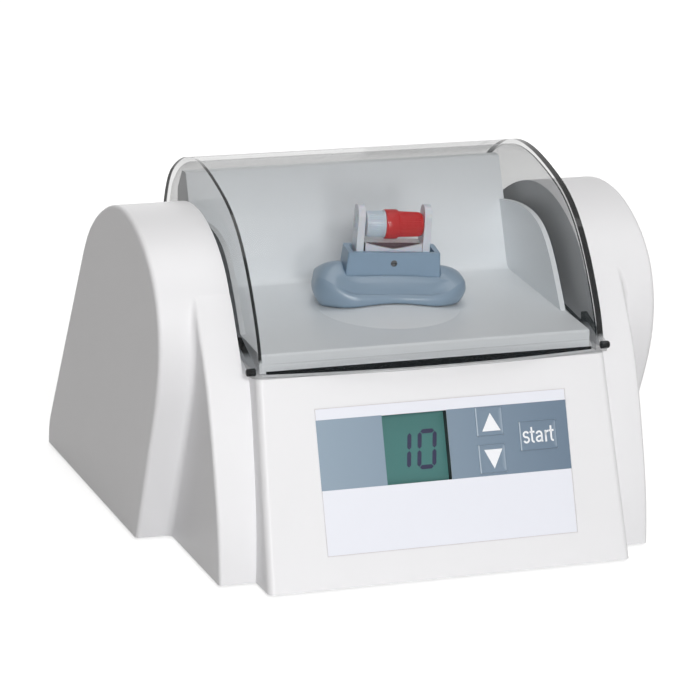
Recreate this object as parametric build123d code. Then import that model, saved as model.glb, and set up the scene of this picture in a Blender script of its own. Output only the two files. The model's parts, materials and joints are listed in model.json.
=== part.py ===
from build123d import *
import os
from math import asin, atan2, cos, degrees, radians, sin, sqrt, tan

"""Bench amalgamator: a motor rocks a capsule in a white moulded casing under a clear hood.

Millimetres, +Z up, +Y towards the back, +X to the right of someone facing the key panel.
The outlines below are drawn from the casing's rim; stand() lifts every piece by the feet's
height, so the finished part stands on Z = 0 with its origin in the middle of its base.
"""

os.makedirs("parts", exist_ok=True)

# ------------------------------------------------------------------ casing
foot_proud = 1.5            # how far the feet hold the casing's rim off the bench
wall = 3.0                  # moulded wall of the casing
casing_half_width = 117.5   # middle to the flat outer face of a wing
wing_gap_half = 84.0        # middle to the inner face of a wing
shoulder_half = 101.0       # middle to the outer face of a shoulder
wing_front_foot_y = -35.5
wing_back_foot_y = 130.0
wing_chin_y, wing_chin_z = -66.8, 65.5
wing_nose_y, wing_nose_z = -75.5, 95.0
wing_cheek_y, wing_cheek_z = -70.8, 118.5
wing_brow_y, wing_brow_z = -46.5, 140.4
wing_top_y, wing_top_z = -8.0, 147.7
wing_nape_y, wing_nape_z = 22.0, 139.8
wing_bend_y, wing_bend_z = 46.8, 124.0
wing_back_y, wing_back_z = 62.6, 104.0
wing_heel_y, wing_heel_z = 124.6, 16.7
shoulder_foot_y = -111.0
shoulder_knee_y, shoulder_knee_z = -103.0, 50.0
shoulder_bend_y, shoulder_bend_z = -86.4, 95.0
shoulder_slope_y, shoulder_slope_z = -79.0, 107.2
shoulder_meet_y, shoulder_meet_z = -70.2, 119.5
shoulder_round = 1.6        # rounding of a shoulder's outer corner
valley_round = 3.0          # hollow between a shoulder and its wing
wing_round = 2.0            # rounding of a wing's outer rim
front_half_base = 84.5      # key panel block, half width at the rim
front_half_top = 81.4       # and at its top
front_round = 3.0           # upright corners of the key panel block
front_foot_y = -130.0
panel_lean = 17.8           # key panel's lean back from upright, degrees
deck_z = 88.0               # ledge that carries the chamber
rear_deck_z = 112.5         # deck behind the chamber, under the hood's hinge
rear_step_y = 28.0          # where the ledge steps up to the rear deck
deck_opening_half = 58.0
deck_opening_front_y = -84.0
deck_opening_back_y = 20.0
boss_radius = 4.0
screw_radius = 1.5
screw_clearance = 0.05
base_boss_top = 30.0
base_boss_places = [
    (shoulder_half - 13.0, -94.0, shoulder_half),
    (casing_half_width - 11.5, -16.0, casing_half_width),
    (casing_half_width - 11.5, 82.0, casing_half_width),
]
vent_count = 9
vent_pitch = 7.0
vent_width = 2.6
vent_low_z, vent_high_z = 66.0, 88.0

# ------------------------------------------------------------------ base plate and feet
plate_gap = 0.4             # between the base plate and the casing's wall
plate_bottom_z = 1.6
plate_thickness = 2.6
foot_radius = 7.0
foot_peg_radius = 2.9
foot_peg_clearance = 0.1
foot_peg_length = 4.0
foot_places = [(66.0, -106.0), (casing_half_width - 23.5, 108.0)]
base_screw_head_radius = 3.0
base_screw_head = 1.5
base_screw_length = 11.0
base_vent_count = 7
base_vent_pitch = 8.0
base_vent_width = 3.0
base_vent_length = 30.0

# ------------------------------------------------------------------ key panel
label_width, label_height = 116.8, 64.0
label_middle_x = 1.8
label_low_v = 14.2          # label's lower edge, up the panel from the rim
label_thickness = 0.35
label_sunk = 0.05           # how far the label's face lies under the panel's face
label_gap = 0.2
window_low_x, window_high_x = -26.4, 3.7
window_low_v, window_high_v = 42.6, 73.0
bezel_wall = 1.5
bezel_depth = 4.4
bezel_gap = 0.15
lens_thickness = 1.0
lens_gap = 0.1
display_thickness = 3.2
display_margin = 2.0
key_gap = 0.2               # between a key and the label around it
key_proud = 0.35
key_thickness = 0.9
key_travel = 0.5
key_room = 0.9              # free depth under a key
stem_radius = 2.0
stem_gap = 0.3
switch_body = 6.0
switch_height = 2.6
switch_plunger_radius = 1.6
switch_plunger = 0.4
board_thickness = 1.6
board_face_depth = 8.0      # panel face to the board's front face
board_low_x, board_high_x = -52.0, 58.0
board_low_v, board_high_v = 30.0, 78.0
board_screw_inset = 3.5
board_screw_radius = 1.2
board_boss_radius = 3.0
board_screw_head_radius = 2.4
board_screw_head = 1.6
keys = {
    "up_key": (16.9, 29.7, 60.2, 72.8),
    "down_key": (16.9, 29.7, 43.8, 56.4),
    "start_key": (36.9, 54.6, 52.2, 65.0),
}

# ------------------------------------------------------------------ mixing chamber
tub_side_gap = 6.6          # between the wing's inner face and the chamber moulding
tub_half = wing_gap_half - tub_side_gap
tub_wall = 2.4
tub_seat = 0.3              # between the moulding and the ledge
tub_front_y = -93.0
floor_back_y, floor_back_z = 0.0, 105.0
floor_fall = 5.0            # floor's fall to the front, degrees
back_top_y, back_top_z = 20.0, 155.5
back_ridge = 6.0
back_rear_y, back_rear_z = 33.5, 145.5
tub_round = 5.0             # hollow corner between floor and back wall
side_arch_top_y, side_arch_top_z = -13.0, 138.0
side_arch_bend_y, side_arch_bend_z = -54.0, 117.0
side_arch_foot_y = -66.0
side_arch_back_z = 134.5
dome_radius = 33.0
dome_height = 4.0
dome_y = -41.0
arm_slot_length = 26.0
arm_slot_width = 15.0
tub_screw_inset = 11.4
tub_screw_places = [
    (tub_half - tub_screw_inset, -60.0),
    (tub_half - tub_screw_inset, -8.0),
]

# ------------------------------------------------------------------ hood
hood_side_gap = 3.6         # between the wing's inner face and the hood's end
hood_half = wing_gap_half - hood_side_gap
hood_sheet = 2.2
hood_front_y, hood_front_z = -101.2, 96.5
hood_top_y, hood_top_z = -7.0, 166.5
hinge_y, hinge_z = 47.0, 119.5
knuckle_radius = 6.5
tail_angle = 22.5           # direction from the hinge to where the tail leaves the knuckle
tail_length = 18.5
lip_bottom_z = 88.7
lip_bulge = 6.0
lip_round = 2.2             # rounding of the lip's two front corners, seen from above
lip_edge_z = 93.8           # front edge of the lip's sloping top, at the middle
lip_wall = 2.0
flange_side_gap = 0.8
flange_half = wing_gap_half - flange_side_gap
flange_height = 3.6
flange_back_y, flange_back_z = -76.0, 97.4
seal_thickness = 1.6
seal_gap = 0.25
seal_end_inset = 4.4
seal_half = hood_half - seal_end_inset
seal_bottom_z = 89.5
seal_end_height = 1.1
seal_middle_height = 2.7
buffer_radius = 1.7
buffer_gap = 0.05
buffer_y, buffer_z = -98.0, 90.8
hinge_pin_radius = 1.6
hinge_pin_clearance = 0.06
hinge_boss_clearance = 0.05
hinge_pin_inner_x = 78.0
hinge_pin_outer_x = 89.0
hinge_boss_radius = 5.0
magnet_radius = 3.0
magnet_thickness = 1.6
magnet_y, magnet_z = 35.0, 121.0

# ------------------------------------------------------------------ mixing drive
pivot_y, pivot_z = -35.7, 68.3      # the rocking arm's pin
head_lean = 5.0             # drive's lean to the front, square to the chamber floor
rest_swing = 2.0            # where the arm stands at rest, degrees to the right
head_turn = 8.0             # holder's turn about the arm, right end to the front
pin_radius = 4.0
pin_clearance = 0.06
hub_radius = 9.0
hub_half_length = 8.0
neck_radius = 6.0
crank_drop = 28.0           # pivot pin to motor shaft
crank_throw = 2.4
crank_pin_radius = 2.5
crank_bearing_radius = 5.0
crank_bearing_gap = 0.02
yoke_front_y, yoke_back_y = -5.0, 1.0
yoke_room = 0.5
yoke_rim = 4.0
disc_radius = 10.0
disc_front_y, disc_back_y = 1.6, 6.5
counterweight_radius = 14.0
shaft_radius = 4.0
shaft_clearance = 0.05
bearing_radius = 11.0
bearing_width = 7.0
cheek_front_y, cheek_front_thickness = -13.0, 4.0
cheek_back_y, cheek_back_thickness = 9.5, 8.0
cheek_half = 17.0
cheek_top = 10.0
motor_radius = 26.0
motor_skin = 2.0
motor_front_y, motor_back_y = 20.0, 68.0
motor_cap = 3.0
magnet_depth = 2.6
rotor_radius = 20.6
rotor_front_y, rotor_back_y = 28.0, 52.0
commutator_radius = 8.0
commutator_front_y, commutator_back_y = 54.5, 62.5
brush_width = 5.0
brush_length = 9.0
rear_bearing_y = 66.0
fan_radius = 22.0
fan_front_y, fan_back_y = 76.0, 83.0
fan_hub_radius = 7.0
fan_blades = 9
chassis_bottom_z = 9.2
chassis_thickness = 4.0
chassis_half = 34.0
chassis_front_y, chassis_back_y = -58.0, 44.0
damper_radius = 6.0
damper_inset = 8.0

# ------------------------------------------------------------------ capsule holder
holder_low, holder_high = 46.3, 59.2    # up the arm from the pivot pin
holder_half_low, holder_half_high = 22.2, 21.2
holder_half_depth = 7.5
holder_shift = 2.0          # holder's middle behind the arm's middle
holder_wall = 2.4
holder_floor = 4.0
spigot_radius = 4.0
holder_screw_up = 54.2
holder_screw_radius = 1.5
claw_inner = 14.05
claw_thickness_low, claw_thickness_high = 3.2, 2.0
claw_half_depth = 5.0
claw_foot_up = 52.0
bar_low_up, bar_high_up = 58.6, 64.0
bar_half_depth = 4.4
capsule_up = 72.0
capsule_half_length = 13.95
capsule_radius = 6.1
collar_radius = 6.8
collar_from, collar_to = -5.2, 2.0
cap_end_radius = 5.6
rib_count = 20
rib_depth = 0.35

# ------------------------------------------------------------------ rubber boot
boot_half_length = 38.3
boot_half_width = 15.5
boot_skin = 2.2
boot_crest_x, boot_crest_up = 29.8, 53.2
boot_widest_up = 45.0
boot_saddle_x, boot_saddle_up = 23.2, 46.0
boot_foot_x, boot_foot_up = 25.0, 31.5
boot_seat = 0.3
boot_round = 2.0

# ------------------------------------------------------------------ mains side
recess_half = 47.0
recess_low_z, recess_high_z = 8.0, 56.0
recess_face_y = 95.0
cut_back_y = 140.0          # cuts through the back end here, past the casing
rear_plate_half, rear_plate_low_z, rear_plate_high_z = 45.0, 10.0, 54.0
rear_plate_thickness = 1.5
rear_window_margin = 7.0
inlet_x, inlet_z = -20.0, 32.0
inlet_half_width, inlet_half_height = 15.5, 19.0
inlet_flange = 2.4
inlet_body_inset = 2.2
inlet_depth = 19.0
socket_half_width, socket_half_height = 12.0, 8.2
socket_up = 7.5             # socket's middle above the inlet's middle
socket_depth = 16.0
contact_pitch = 7.0
contact_width, contact_height = 2.0, 4.0
contact_length = 11.0
drawer_down = 11.5          # fuse drawer's middle below the inlet's middle
drawer_half_width, drawer_half_height = 11.5, 3.6
drawer_depth = 15.0
drawer_gap = 0.2
drawer_front = 1.6
fuse_radius, fuse_length = 2.5, 20.0
switch_x, switch_z = 20.0, 32.0
rocker_half_width, rocker_half_height = 5.3, 8.0
rocker_gap = 0.35
rocker_tilt = 8.0
bezel_flange = 2.0
bezel_rim = 2.4
bezel_body_depth = 13.0
power_board_side_gap = 21.5
power_board_low_x = 36.5
power_board_high_x = casing_half_width - power_board_side_gap
power_board_low_y, power_board_high_y = -22.0, 52.0
power_board_z = 11.0
core_low_x, core_high_x = -92.0, -48.0
core_low_y, core_high_y = -6.0, 28.0
core_height = 36.0
ribbon_width = 16.0
ribbon_thickness = 1.0
ribbon_middle_x = 47.0
ribbon_socket_v = 39.0


# ================================================================== drawing helpers
def stand(shape):
    """Lifts a piece by the feet's height."""
    return Pos(0, 0, foot_proud) * shape


def write(node, shape):
    """Writes one piece as its own file."""
    export_step(stand(shape), f"parts/{node}.step")


def block(x_from, x_to, y_from, y_to, z_from, z_to):
    """Box between two corners."""
    size = (x_to - x_from, y_to - y_from, z_to - z_from)
    middle = ((x_from + x_to) / 2, (y_from + y_to) / 2, (z_from + z_to) / 2)
    return Pos(*middle) * Box(*size)


def rod_x(radius, x_from, x_to, y=0.0, z=0.0):
    """Round bar along X."""
    return Pos((x_from + x_to) / 2, y, z) * Rot(0, 90, 0) * Cylinder(radius, abs(x_to - x_from))


def rod_y(radius, y_from, y_to, x=0.0, z=0.0):
    """Round bar along Y."""
    return Pos(x, (y_from + y_to) / 2, z) * Rot(90, 0, 0) * Cylinder(radius, abs(y_to - y_from))


def rod_z(radius, z_from, z_to, x=0.0, y=0.0):
    """Round bar along Z."""
    return Pos(x, y, (z_from + z_to) / 2) * Cylinder(radius, abs(z_to - z_from))


def side_prism(outline, x_from, x_to):
    """A (y, z) outline, run along X."""
    face = Plane.YZ.offset(x_from) * make_face(outline)
    return extrude(face, x_to - x_from, dir=(1, 0, 0))


def side_face_prism(face, x_from, x_to):
    """A face drawn in (y, z), run along X."""
    return extrude(Plane.YZ.offset(x_from) * face, x_to - x_from, dir=(1, 0, 0))


def front_prism(outline, y_from, y_to):
    """An (x, z) outline, run along Y."""
    face = Plane((0, y_from, 0), x_dir=(1, 0, 0), z_dir=(0, -1, 0)) * make_face(outline)
    return extrude(face, y_to - y_from, dir=(0, 1, 0))


def plan_prism(outline, z_from, z_to):
    """An (x, y) outline, run along Z."""
    return extrude(Plane.XY.offset(z_from) * make_face(outline), z_to - z_from, dir=(0, 0, 1))


def closed(*points):
    """Straight-sided outline through the points and back to the first."""
    return Polyline(*points, close=True)


def inside_of(curve, inset, steps=16):
    """The same curve, moved to its right-hand side."""
    if inset == 0:
        return curve
    moved = []
    for index in range(steps + 1):
        at, way = curve @ (index / steps), curve % (index / steps)
        moved.append((at.X + way.Y * inset, at.Y - way.X * inset))
    return Spline(moved, tangents=[tuple(curve % 0)[:2], tuple(curve % 1)[:2]])


def inside_line(start, end, inset):
    """Straight run, moved to its right-hand side."""
    run = sqrt((end[0] - start[0]) ** 2 + (end[1] - start[1]) ** 2)
    shift_y, shift_z = (end[1] - start[1]) / run * inset, (start[0] - end[0]) / run * inset
    return Line((start[0] + shift_y, start[1] + shift_z), (end[0] + shift_y, end[1] + shift_z))


def joined(curves, *corners):
    """Closed outline: curves end to end, then straight runs through the corners."""
    outline = curves[0]
    for curve in curves[1:]:
        outline = outline + curve
    return outline + Polyline(curves[-1] @ 1, *corners, curves[0] @ 0)


def mirrored(shape):
    """The piece and its twin on the other side of the middle."""
    return shape + mirror(shape, about=Plane.YZ)


# ================================================================== frames
panel_turn = radians(panel_lean)
panel = Plane((0, front_foot_y, 0), x_dir=(1, 0, 0), z_dir=(0, -cos(panel_turn), sin(panel_turn)))
panel_location = panel.location
drive = Pos(0, pivot_y, pivot_z) * Rot(head_lean, 0, 0)
arm_place = drive * Rot(0, rest_swing, 0)
holder_place = arm_place * Rot(0, 0, -head_turn) * Pos(0, holder_shift, 0)
crank_turn = degrees(asin(-crank_drop * sin(radians(rest_swing)) / crank_throw))
shaft_place = drive * Pos(0, 0, -crank_drop) * Rot(0, crank_turn, 0)
floor_drop = tan(radians(floor_fall))
plate_top_z = plate_bottom_z + plate_thickness
chassis_top_z = chassis_bottom_z + chassis_thickness


def panel_block(x_from, x_to, v_from, v_to, n_from, n_to):
    """Box on the key panel: across, up the panel, and out of its face."""
    return panel_location * block(x_from, x_to, v_from, v_to, n_from, n_to)


def panel_rod(radius, x, v, n_from, n_to):
    """Round bar standing on the key panel."""
    return panel_location * rod_z(radius, n_from, n_to, x, v)


def panel_point(v, n):
    """Where a point up the panel and out of its face lies, as (y, z)."""
    y = front_foot_y + v * sin(panel_turn) - n * cos(panel_turn)
    return (y, v * cos(panel_turn) + n * sin(panel_turn))


def floor_height(y):
    """Height of the chamber floor at a distance from its back edge."""
    return floor_back_z - (floor_back_y - y) * floor_drop


# ================================================================== casing
def wing_outline(inset=0.0, drop=0.0):
    """Side view of a wing, drawn inside itself by inset, with its base lowered by drop."""
    rake = (wing_chin_y - wing_front_foot_y) / wing_chin_z
    front_foot = (wing_front_foot_y - rake * drop, -drop)
    chin, back = (wing_chin_y, wing_chin_z), (wing_back_y, wing_back_z)
    heel, rim = (wing_heel_y, wing_heel_z), (wing_back_foot_y, 0.0)
    front_way = (wing_chin_y - wing_front_foot_y, wing_chin_z)
    back_way = (wing_heel_y - wing_back_y, wing_heel_z - wing_back_z)
    nose, cheek = (wing_nose_y, wing_nose_z), (wing_cheek_y, wing_cheek_z)
    brow = (wing_brow_y, wing_brow_z)
    top, nape = (wing_top_y, wing_top_z), (wing_nape_y, wing_nape_z)
    bend = (wing_bend_y, wing_bend_z)
    ends = [Vector(*front_way).normalized(), Vector(*back_way).normalized()]
    arch = Spline(
        [chin, nose, cheek, brow, top, nape, bend, back], tangents=ends, tangent_scalars=[1, 1]
    )
    heel_curve = Spline([heel, rim], tangents=[back_way, (0, -1)])
    curves = [
        inside_line(front_foot, chin, inset),
        inside_of(arch, inset),
        inside_line(back, heel, inset),
        inside_of(heel_curve, inset),
    ]
    if drop > 0:
        curves.append(inside_line(rim, (rim[0], -drop), inset))
    return joined(curves)


def shoulder_outline(inset=0.0, drop=0.0):
    """Side view of the shoulders' front, closed inside the wings."""
    foot = (shoulder_foot_y, 0.0)
    inside_top = (wing_top_y - 12.0, shoulder_meet_z + 15.0)
    front = Spline(
        [
            foot,
            (shoulder_knee_y, shoulder_knee_z),
            (shoulder_bend_y, shoulder_bend_z),
            (shoulder_slope_y, shoulder_slope_z),
            (shoulder_meet_y, shoulder_meet_z),
            (shoulder_meet_y + 14.0, shoulder_meet_z + 8.0),
            inside_top,
        ],
        tangents=[(0, 1), (12, 1)],
    )
    curves = [inside_of(front, inset)]
    if drop > 0:
        curves.insert(0, inside_line((shoulder_foot_y, -drop), foot, inset))
    return joined(curves, (inside_top[0], -drop))


def key_block(inset=0.0, drop=0.0):
    """Leaning block that carries the key panel, its sides closing in towards the top."""
    closing = (front_half_base - front_half_top) / deck_z
    low, high = -drop, deck_z + 1.0
    half_low = front_half_base + closing * drop - inset
    half_high = front_half_base - closing * high - inset
    face_shift = inset / cos(panel_turn)
    front_low_y = front_foot_y - drop * tan(panel_turn) + face_shift
    front_high_y = front_foot_y + high * tan(panel_turn) + face_shift
    inside_y = shoulder_bend_y + 16.0
    sides = front_prism(
        closed((-half_low, low), (half_low, low), (half_high, high), (-half_high, high)),
        front_foot_y - 20.0,
        inside_y,
    )
    lean = closed((front_low_y, low), (front_high_y, high), (inside_y, high), (inside_y, low))
    return sides & side_prism(lean, -front_half_base - 5, front_half_base + 5)


def well(inset=0.0):
    """Space over the ledge and the rear deck, grown downwards and outwards by inset."""
    far_y, far_z = 200.0, 300.0
    ledge, rear = deck_z - inset, rear_deck_z - inset
    step = rear_step_y + inset
    outline = closed(
        (-far_y, ledge), (step, ledge), (step, rear), (far_y, rear), (far_y, far_z), (-far_y, far_z)
    )
    return side_prism(outline, -wing_gap_half - inset, wing_gap_half + inset)


def hollows(inset):
    """Insides of the wings, the shoulders and the key block, open at the base."""
    drop = 20.0
    wing_half, shoulder_inside_half = casing_half_width - inset, shoulder_half - inset
    wings = side_prism(wing_outline(inset, drop), -wing_half, wing_half)
    shoulders = side_prism(
        shoulder_outline(inset, drop), -shoulder_inside_half, shoulder_inside_half
    )
    return [wings, shoulders, key_block(inset, drop)]


def edges_on_side(shape, half, low_z, high_z):
    """Edges that lie in the planes X = half and X = -half, between two heights."""
    chosen = []
    for edge in shape.edges():
        box = edge.bounding_box()
        flat = box.max.X - box.min.X < 0.01
        on_plane = abs(abs(box.min.X) - half) < 0.05
        if flat and on_plane and box.min.Z > low_z and box.max.Z < high_z:
            chosen.append(edge)
    return chosen


def casing_body():
    """Outside of the casing, rounded, before it is hollowed."""
    wings = side_prism(wing_outline(), -casing_half_width, casing_half_width)
    shoulders = side_prism(shoulder_outline(), -shoulder_half, shoulder_half)
    body = wings + shoulders
    top = wing_top_z + 5.0
    rims = edges_on_side(body, casing_half_width, -1.0, top)
    body = fillet([e for e in rims if e.bounding_box().max.Z > 1.0], wing_round)
    corners = edges_on_side(body, shoulder_half, -1.0, top)
    upright = [e for e in corners if e.bounding_box().max.Z > 1.0]
    outer = [e for e in upright if e.bounding_box().min.Y < shoulder_foot_y + 1.0]
    body = fillet(outer, shoulder_round)
    corners = edges_on_side(body, shoulder_half, -1.0, top)
    upright = [e for e in corners if e.bounding_box().max.Z > 1.0]
    inner = [e for e in upright if e.bounding_box().min.Y > shoulder_foot_y + 20.0]
    body = fillet(inner, valley_round)
    return body


def base_bosses():
    """Screw bosses that stand on the base plate, each webbed to the nearest side wall."""
    bosses = []
    for x, y, wall_x in base_boss_places:
        boss = rod_z(boss_radius, plate_top_z, base_boss_top, x, y)
        web = block(x, wall_x - wall / 2, y - 1.2, y + 1.2, plate_top_z, base_boss_top)
        hole = rod_z(screw_radius + screw_clearance, 0, plate_top_z + 9.0, x, y)
        bosses.append(mirrored(boss + web - hole))
    return bosses


def board_places():
    """Where the control board is screwed down, across and up the panel."""
    low_x, high_x = board_low_x + board_screw_inset, board_high_x - board_screw_inset
    low_v, high_v = board_low_v + board_screw_inset, board_high_v - board_screw_inset
    return [(low_x, low_v), (high_x, low_v), (low_x, high_v), (high_x, high_v)]


def tub_places():
    """Screws that hold the chamber down to the ledge."""
    return [(side * x, y) for x, y in tub_screw_places for side in (-1, 1)]


def casing():
    """White moulded casing."""
    body = casing_body() + key_block()
    corners = [
        e
        for e in body.edges().filter_by(GeomType.LINE)
        if e.bounding_box().max.Y < -95.0 and e.bounding_box().size.Z > 60.0
    ]
    body = fillet(corners, front_round)
    recess_wall = block(
        -recess_half - wall,
        recess_half + wall,
        recess_face_y - wall,
        cut_back_y,
        recess_low_z - wall,
        recess_high_z + wall,
    )
    body = body - well()
    for inside in hollows(wall):
        body = body - (inside - well(wall) - recess_wall)
    body = body - block(
        -recess_half, recess_half, recess_face_y, cut_back_y, recess_low_z, recess_high_z
    )
    window_x = rear_plate_half - rear_window_margin
    window_low, window_high = rear_plate_low_z + 4.0, rear_plate_high_z - 4.0
    body = body - block(-window_x, window_x, 80.0, 97.0, window_low, window_high)
    body = body - block(
        -deck_opening_half, deck_opening_half, deck_opening_front_y, deck_opening_back_y, 80.0, 95.0
    )
    for boss in base_bosses():
        body = body + boss
    for x, v in board_places():
        post = panel_rod(board_boss_radius, x, v, -board_face_depth, -wall + 0.5)
        hole = panel_rod(board_screw_radius + screw_clearance, x, v, -board_face_depth - 1, -wall)
        body = body + post - hole
    for x, y in tub_places():
        body = body - rod_z(screw_radius + screw_clearance, 80.0, 95.0, x, y)
    for side in (-1, 1):
        outer = side * (hinge_pin_outer_x + 0.5)
        boss = rod_x(hinge_boss_radius, side * (wing_gap_half + 1), outer, hinge_y, hinge_z)
        boss = boss & side_prism(wing_outline(wall / 3), -casing_half_width, casing_half_width)
        bore = rod_x(
            hinge_pin_radius + hinge_boss_clearance, side * (wing_gap_half - 1), outer, hinge_y, hinge_z
        )
        body = body + boss - bore
    label_cut = panel_block(
        label_middle_x - label_width / 2 - label_gap,
        label_middle_x + label_width / 2 + label_gap,
        label_low_v - label_gap,
        label_low_v + label_height + label_gap,
        -label_thickness - label_sunk,
        5.0,
    )
    body = body - label_cut
    margin = bezel_wall + bezel_gap
    body = body - panel_block(
        window_low_x - margin,
        window_high_x + margin,
        window_low_v - margin,
        window_high_v + margin,
        -10.0,
        5.0,
    )
    for low_x, high_x, low_v, high_v in keys.values():
        under = -label_thickness - label_sunk
        pocket = under - key_room - (key_thickness - key_proud - label_thickness - label_sunk)
        body = body - panel_block(low_x, high_x, low_v, high_v, pocket, 5.0)
        middle = ((low_x + high_x) / 2, (low_v + high_v) / 2)
        body = body - panel_rod(stem_radius + stem_gap, *middle, -10.0, 0.0)
    for slot in vent_places():
        body = body - slot
    return body


def vent_places():
    """Upright slots through the sloping back, over the rear plate."""
    slots = []
    for index in range(vent_count):
        x = (index - (vent_count - 1) / 2) * vent_pitch
        slots.append(
            block(x - vent_width / 2, x + vent_width / 2, 45.0, 120.0, vent_low_z, vent_high_z)
        )
    return slots


def base_plate():
    """Plate that closes the casing's underside."""
    reach = 200.0
    slab = block(-reach, reach, -reach, reach, plate_bottom_z, plate_top_z)
    pieces = [inside & slab for inside in hollows(wall + plate_gap)]
    plate = pieces[0] + pieces[1] + pieces[2]
    for x, y, _ in base_boss_places:
        plate = plate - mirrored(rod_z(screw_radius + 0.3, 0, 10, x, y))
    for x, y in foot_places:
        plate = plate - mirrored(rod_z(foot_peg_radius + foot_peg_clearance, 0, 10, x, y))
    for x in (power_board_low_x + 4, power_board_high_x - 4):
        for y in (power_board_low_y + 4, power_board_high_y - 4):
            plate = plate + rod_z(board_boss_radius, plate_top_z - 1.0, power_board_z, x, y)
    for index in range(base_vent_count):
        y = (index - (base_vent_count - 1) / 2) * base_vent_pitch - 88.0
        half = base_vent_length / 2
        slot = block(-half, half, y - base_vent_width / 2, y + base_vent_width / 2, 0, 10)
        if abs(y) > abs(chassis_front_y) + 4.0:
            plate = plate - slot
    return plate


def rubber_feet():
    """Four rubber feet, each with a peg pushed through the base plate."""
    feet = None
    for x, y in foot_places:
        pad = rod_z(foot_radius, -foot_proud, plate_bottom_z, x, y)
        peg = rod_z(foot_peg_radius, plate_bottom_z, plate_bottom_z + foot_peg_length, x, y)
        foot = fillet((pad + peg).edges().group_by(Axis.Z)[0], 0.8)
        feet = mirrored(foot) if feet is None else feet + mirrored(foot)
    return feet


def base_screws():
    """Six screws up through the base plate into the casing's bosses."""
    screws = None
    for x, y, _ in base_boss_places:
        head_low = plate_bottom_z - base_screw_head
        head = rod_z(base_screw_head_radius, head_low, plate_bottom_z, x, y)
        head = head - block(x - 2.2, x + 2.2, y - 0.4, y + 0.4, head_low, head_low + 0.7)
        head = head - block(x - 0.4, x + 0.4, y - 2.2, y + 2.2, head_low, head_low + 0.7)
        shank_top = plate_bottom_z + base_screw_length - 1.0
        shank = rod_z(screw_radius, plate_bottom_z, shank_top, x, y)
        screw = mirrored(head + shank)
        screws = screw if screws is None else screws + screw
    return screws


# ================================================================== key panel pieces
def key_hole(low_x, high_x, low_v, high_v, grow):
    """Through cut for a key, grown all round."""
    return panel_block(low_x - grow, high_x + grow, low_v - grow, high_v + grow, -3.0, 3.0)


def front_label():
    """Thin printed label, cut out for the display and the keys."""
    label = panel_block(
        label_middle_x - label_width / 2,
        label_middle_x + label_width / 2,
        label_low_v,
        label_low_v + label_height,
        -label_thickness - label_sunk,
        -label_sunk,
    )
    label = label - panel_block(
        window_low_x, window_high_x, window_low_v, window_high_v, -3.0, 3.0
    )
    for rectangle in keys.values():
        label = label - key_hole(*rectangle, 0.0)
    return label


def display_bezel():
    """Black frame that lines the display's window."""
    face = -label_thickness - label_sunk
    frame = panel_block(
        window_low_x - bezel_wall,
        window_high_x + bezel_wall,
        window_low_v - bezel_wall,
        window_high_v + bezel_wall,
        -bezel_depth,
        face,
    )
    return frame - panel_block(
        window_low_x, window_high_x, window_low_v, window_high_v, -bezel_depth - 1, 1
    )


def display_lens():
    """Clear pane at the foot of the bezel."""
    return panel_block(
        window_low_x + lens_gap,
        window_high_x - lens_gap,
        window_low_v + lens_gap,
        window_high_v - lens_gap,
        -bezel_depth,
        -bezel_depth + lens_thickness,
    )


def display_module():
    """Liquid crystal cell behind the bezel, standing on the control board."""
    face = -bezel_depth - 0.1
    cell = panel_block(
        window_low_x - display_margin,
        window_high_x + display_margin,
        window_low_v - display_margin,
        window_high_v + display_margin,
        face - display_thickness,
        face,
    )
    return cell


def key(rectangle):
    """One key: a thin pad with a stem that reaches its switch."""
    low_x, high_x, low_v, high_v = rectangle
    pad = panel_block(
        low_x + key_gap,
        high_x - key_gap,
        low_v + key_gap,
        high_v - key_gap,
        key_proud - key_thickness,
        key_proud,
    )
    pad = fillet(pad.faces().sort_by(Axis.Y)[0].edges(), 0.2)
    middle = ((low_x + high_x) / 2, (low_v + high_v) / 2)
    plunger_top = -board_face_depth + switch_height + switch_plunger
    stem = panel_rod(
        stem_radius, *middle, plunger_top + key_travel + 0.1, key_proud - key_thickness
    )
    return pad + stem


def control_board():
    """Circuit board behind the key panel."""
    board = panel_block(
        board_low_x,
        board_high_x,
        board_low_v,
        board_high_v,
        -board_face_depth - board_thickness,
        -board_face_depth,
    )
    for x, v in board_places():
        board = board - panel_rod(board_screw_radius + 0.2, x, v, -20.0, 0.0)
    return board


def board_screws():
    """Four screws that hold the control board to the casing's posts."""
    screws = None
    back = -board_face_depth - board_thickness
    for x, v in board_places():
        head = panel_rod(board_screw_head_radius, x, v, back - board_screw_head, back)
        shank = panel_rod(board_screw_radius, x, v, back, -wall - 1.0)
        screw = head + shank
        screws = screw if screws is None else screws + screw
    return screws


def key_switches():
    """Three push switches under the keys."""
    switches = None
    for low_x, high_x, low_v, high_v in keys.values():
        x, v = (low_x + high_x) / 2, (low_v + high_v) / 2
        half = switch_body / 2
        top = -board_face_depth + switch_height
        body = panel_block(x - half, x + half, v - half, v + half, -board_face_depth, top)
        plunger = panel_rod(switch_plunger_radius, x, v, top, top + switch_plunger)
        switch = body + plunger
        switches = switch if switches is None else switches + switch
    return switches


def board_parts():
    """Chips, buzzer and connector on the back of the control board."""
    back = -board_face_depth - board_thickness
    chip = panel_block(-14.0, 4.0, 48.0, 58.0, back - 2.4, back)
    driver = panel_block(12.0, 22.0, 40.0, 46.0, back - 1.8, back)
    buzzer = panel_rod(6.0, -38.0, 52.0, back - 7.0, back)
    low_x, high_x = ribbon_middle_x - ribbon_width / 2, ribbon_middle_x + ribbon_width / 2
    middle_v = ribbon_socket_v
    socket = panel_block(low_x - 2.0, high_x + 2.0, middle_v - 3.0, middle_v + 3.0, back - 6.0, back)
    slit = panel_block(
        low_x - 0.2, high_x + 0.2, middle_v - 0.7, middle_v + 0.7, back - 7.0, back - 2.0
    )
    return chip + driver + buzzer + (socket - slit)


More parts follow.
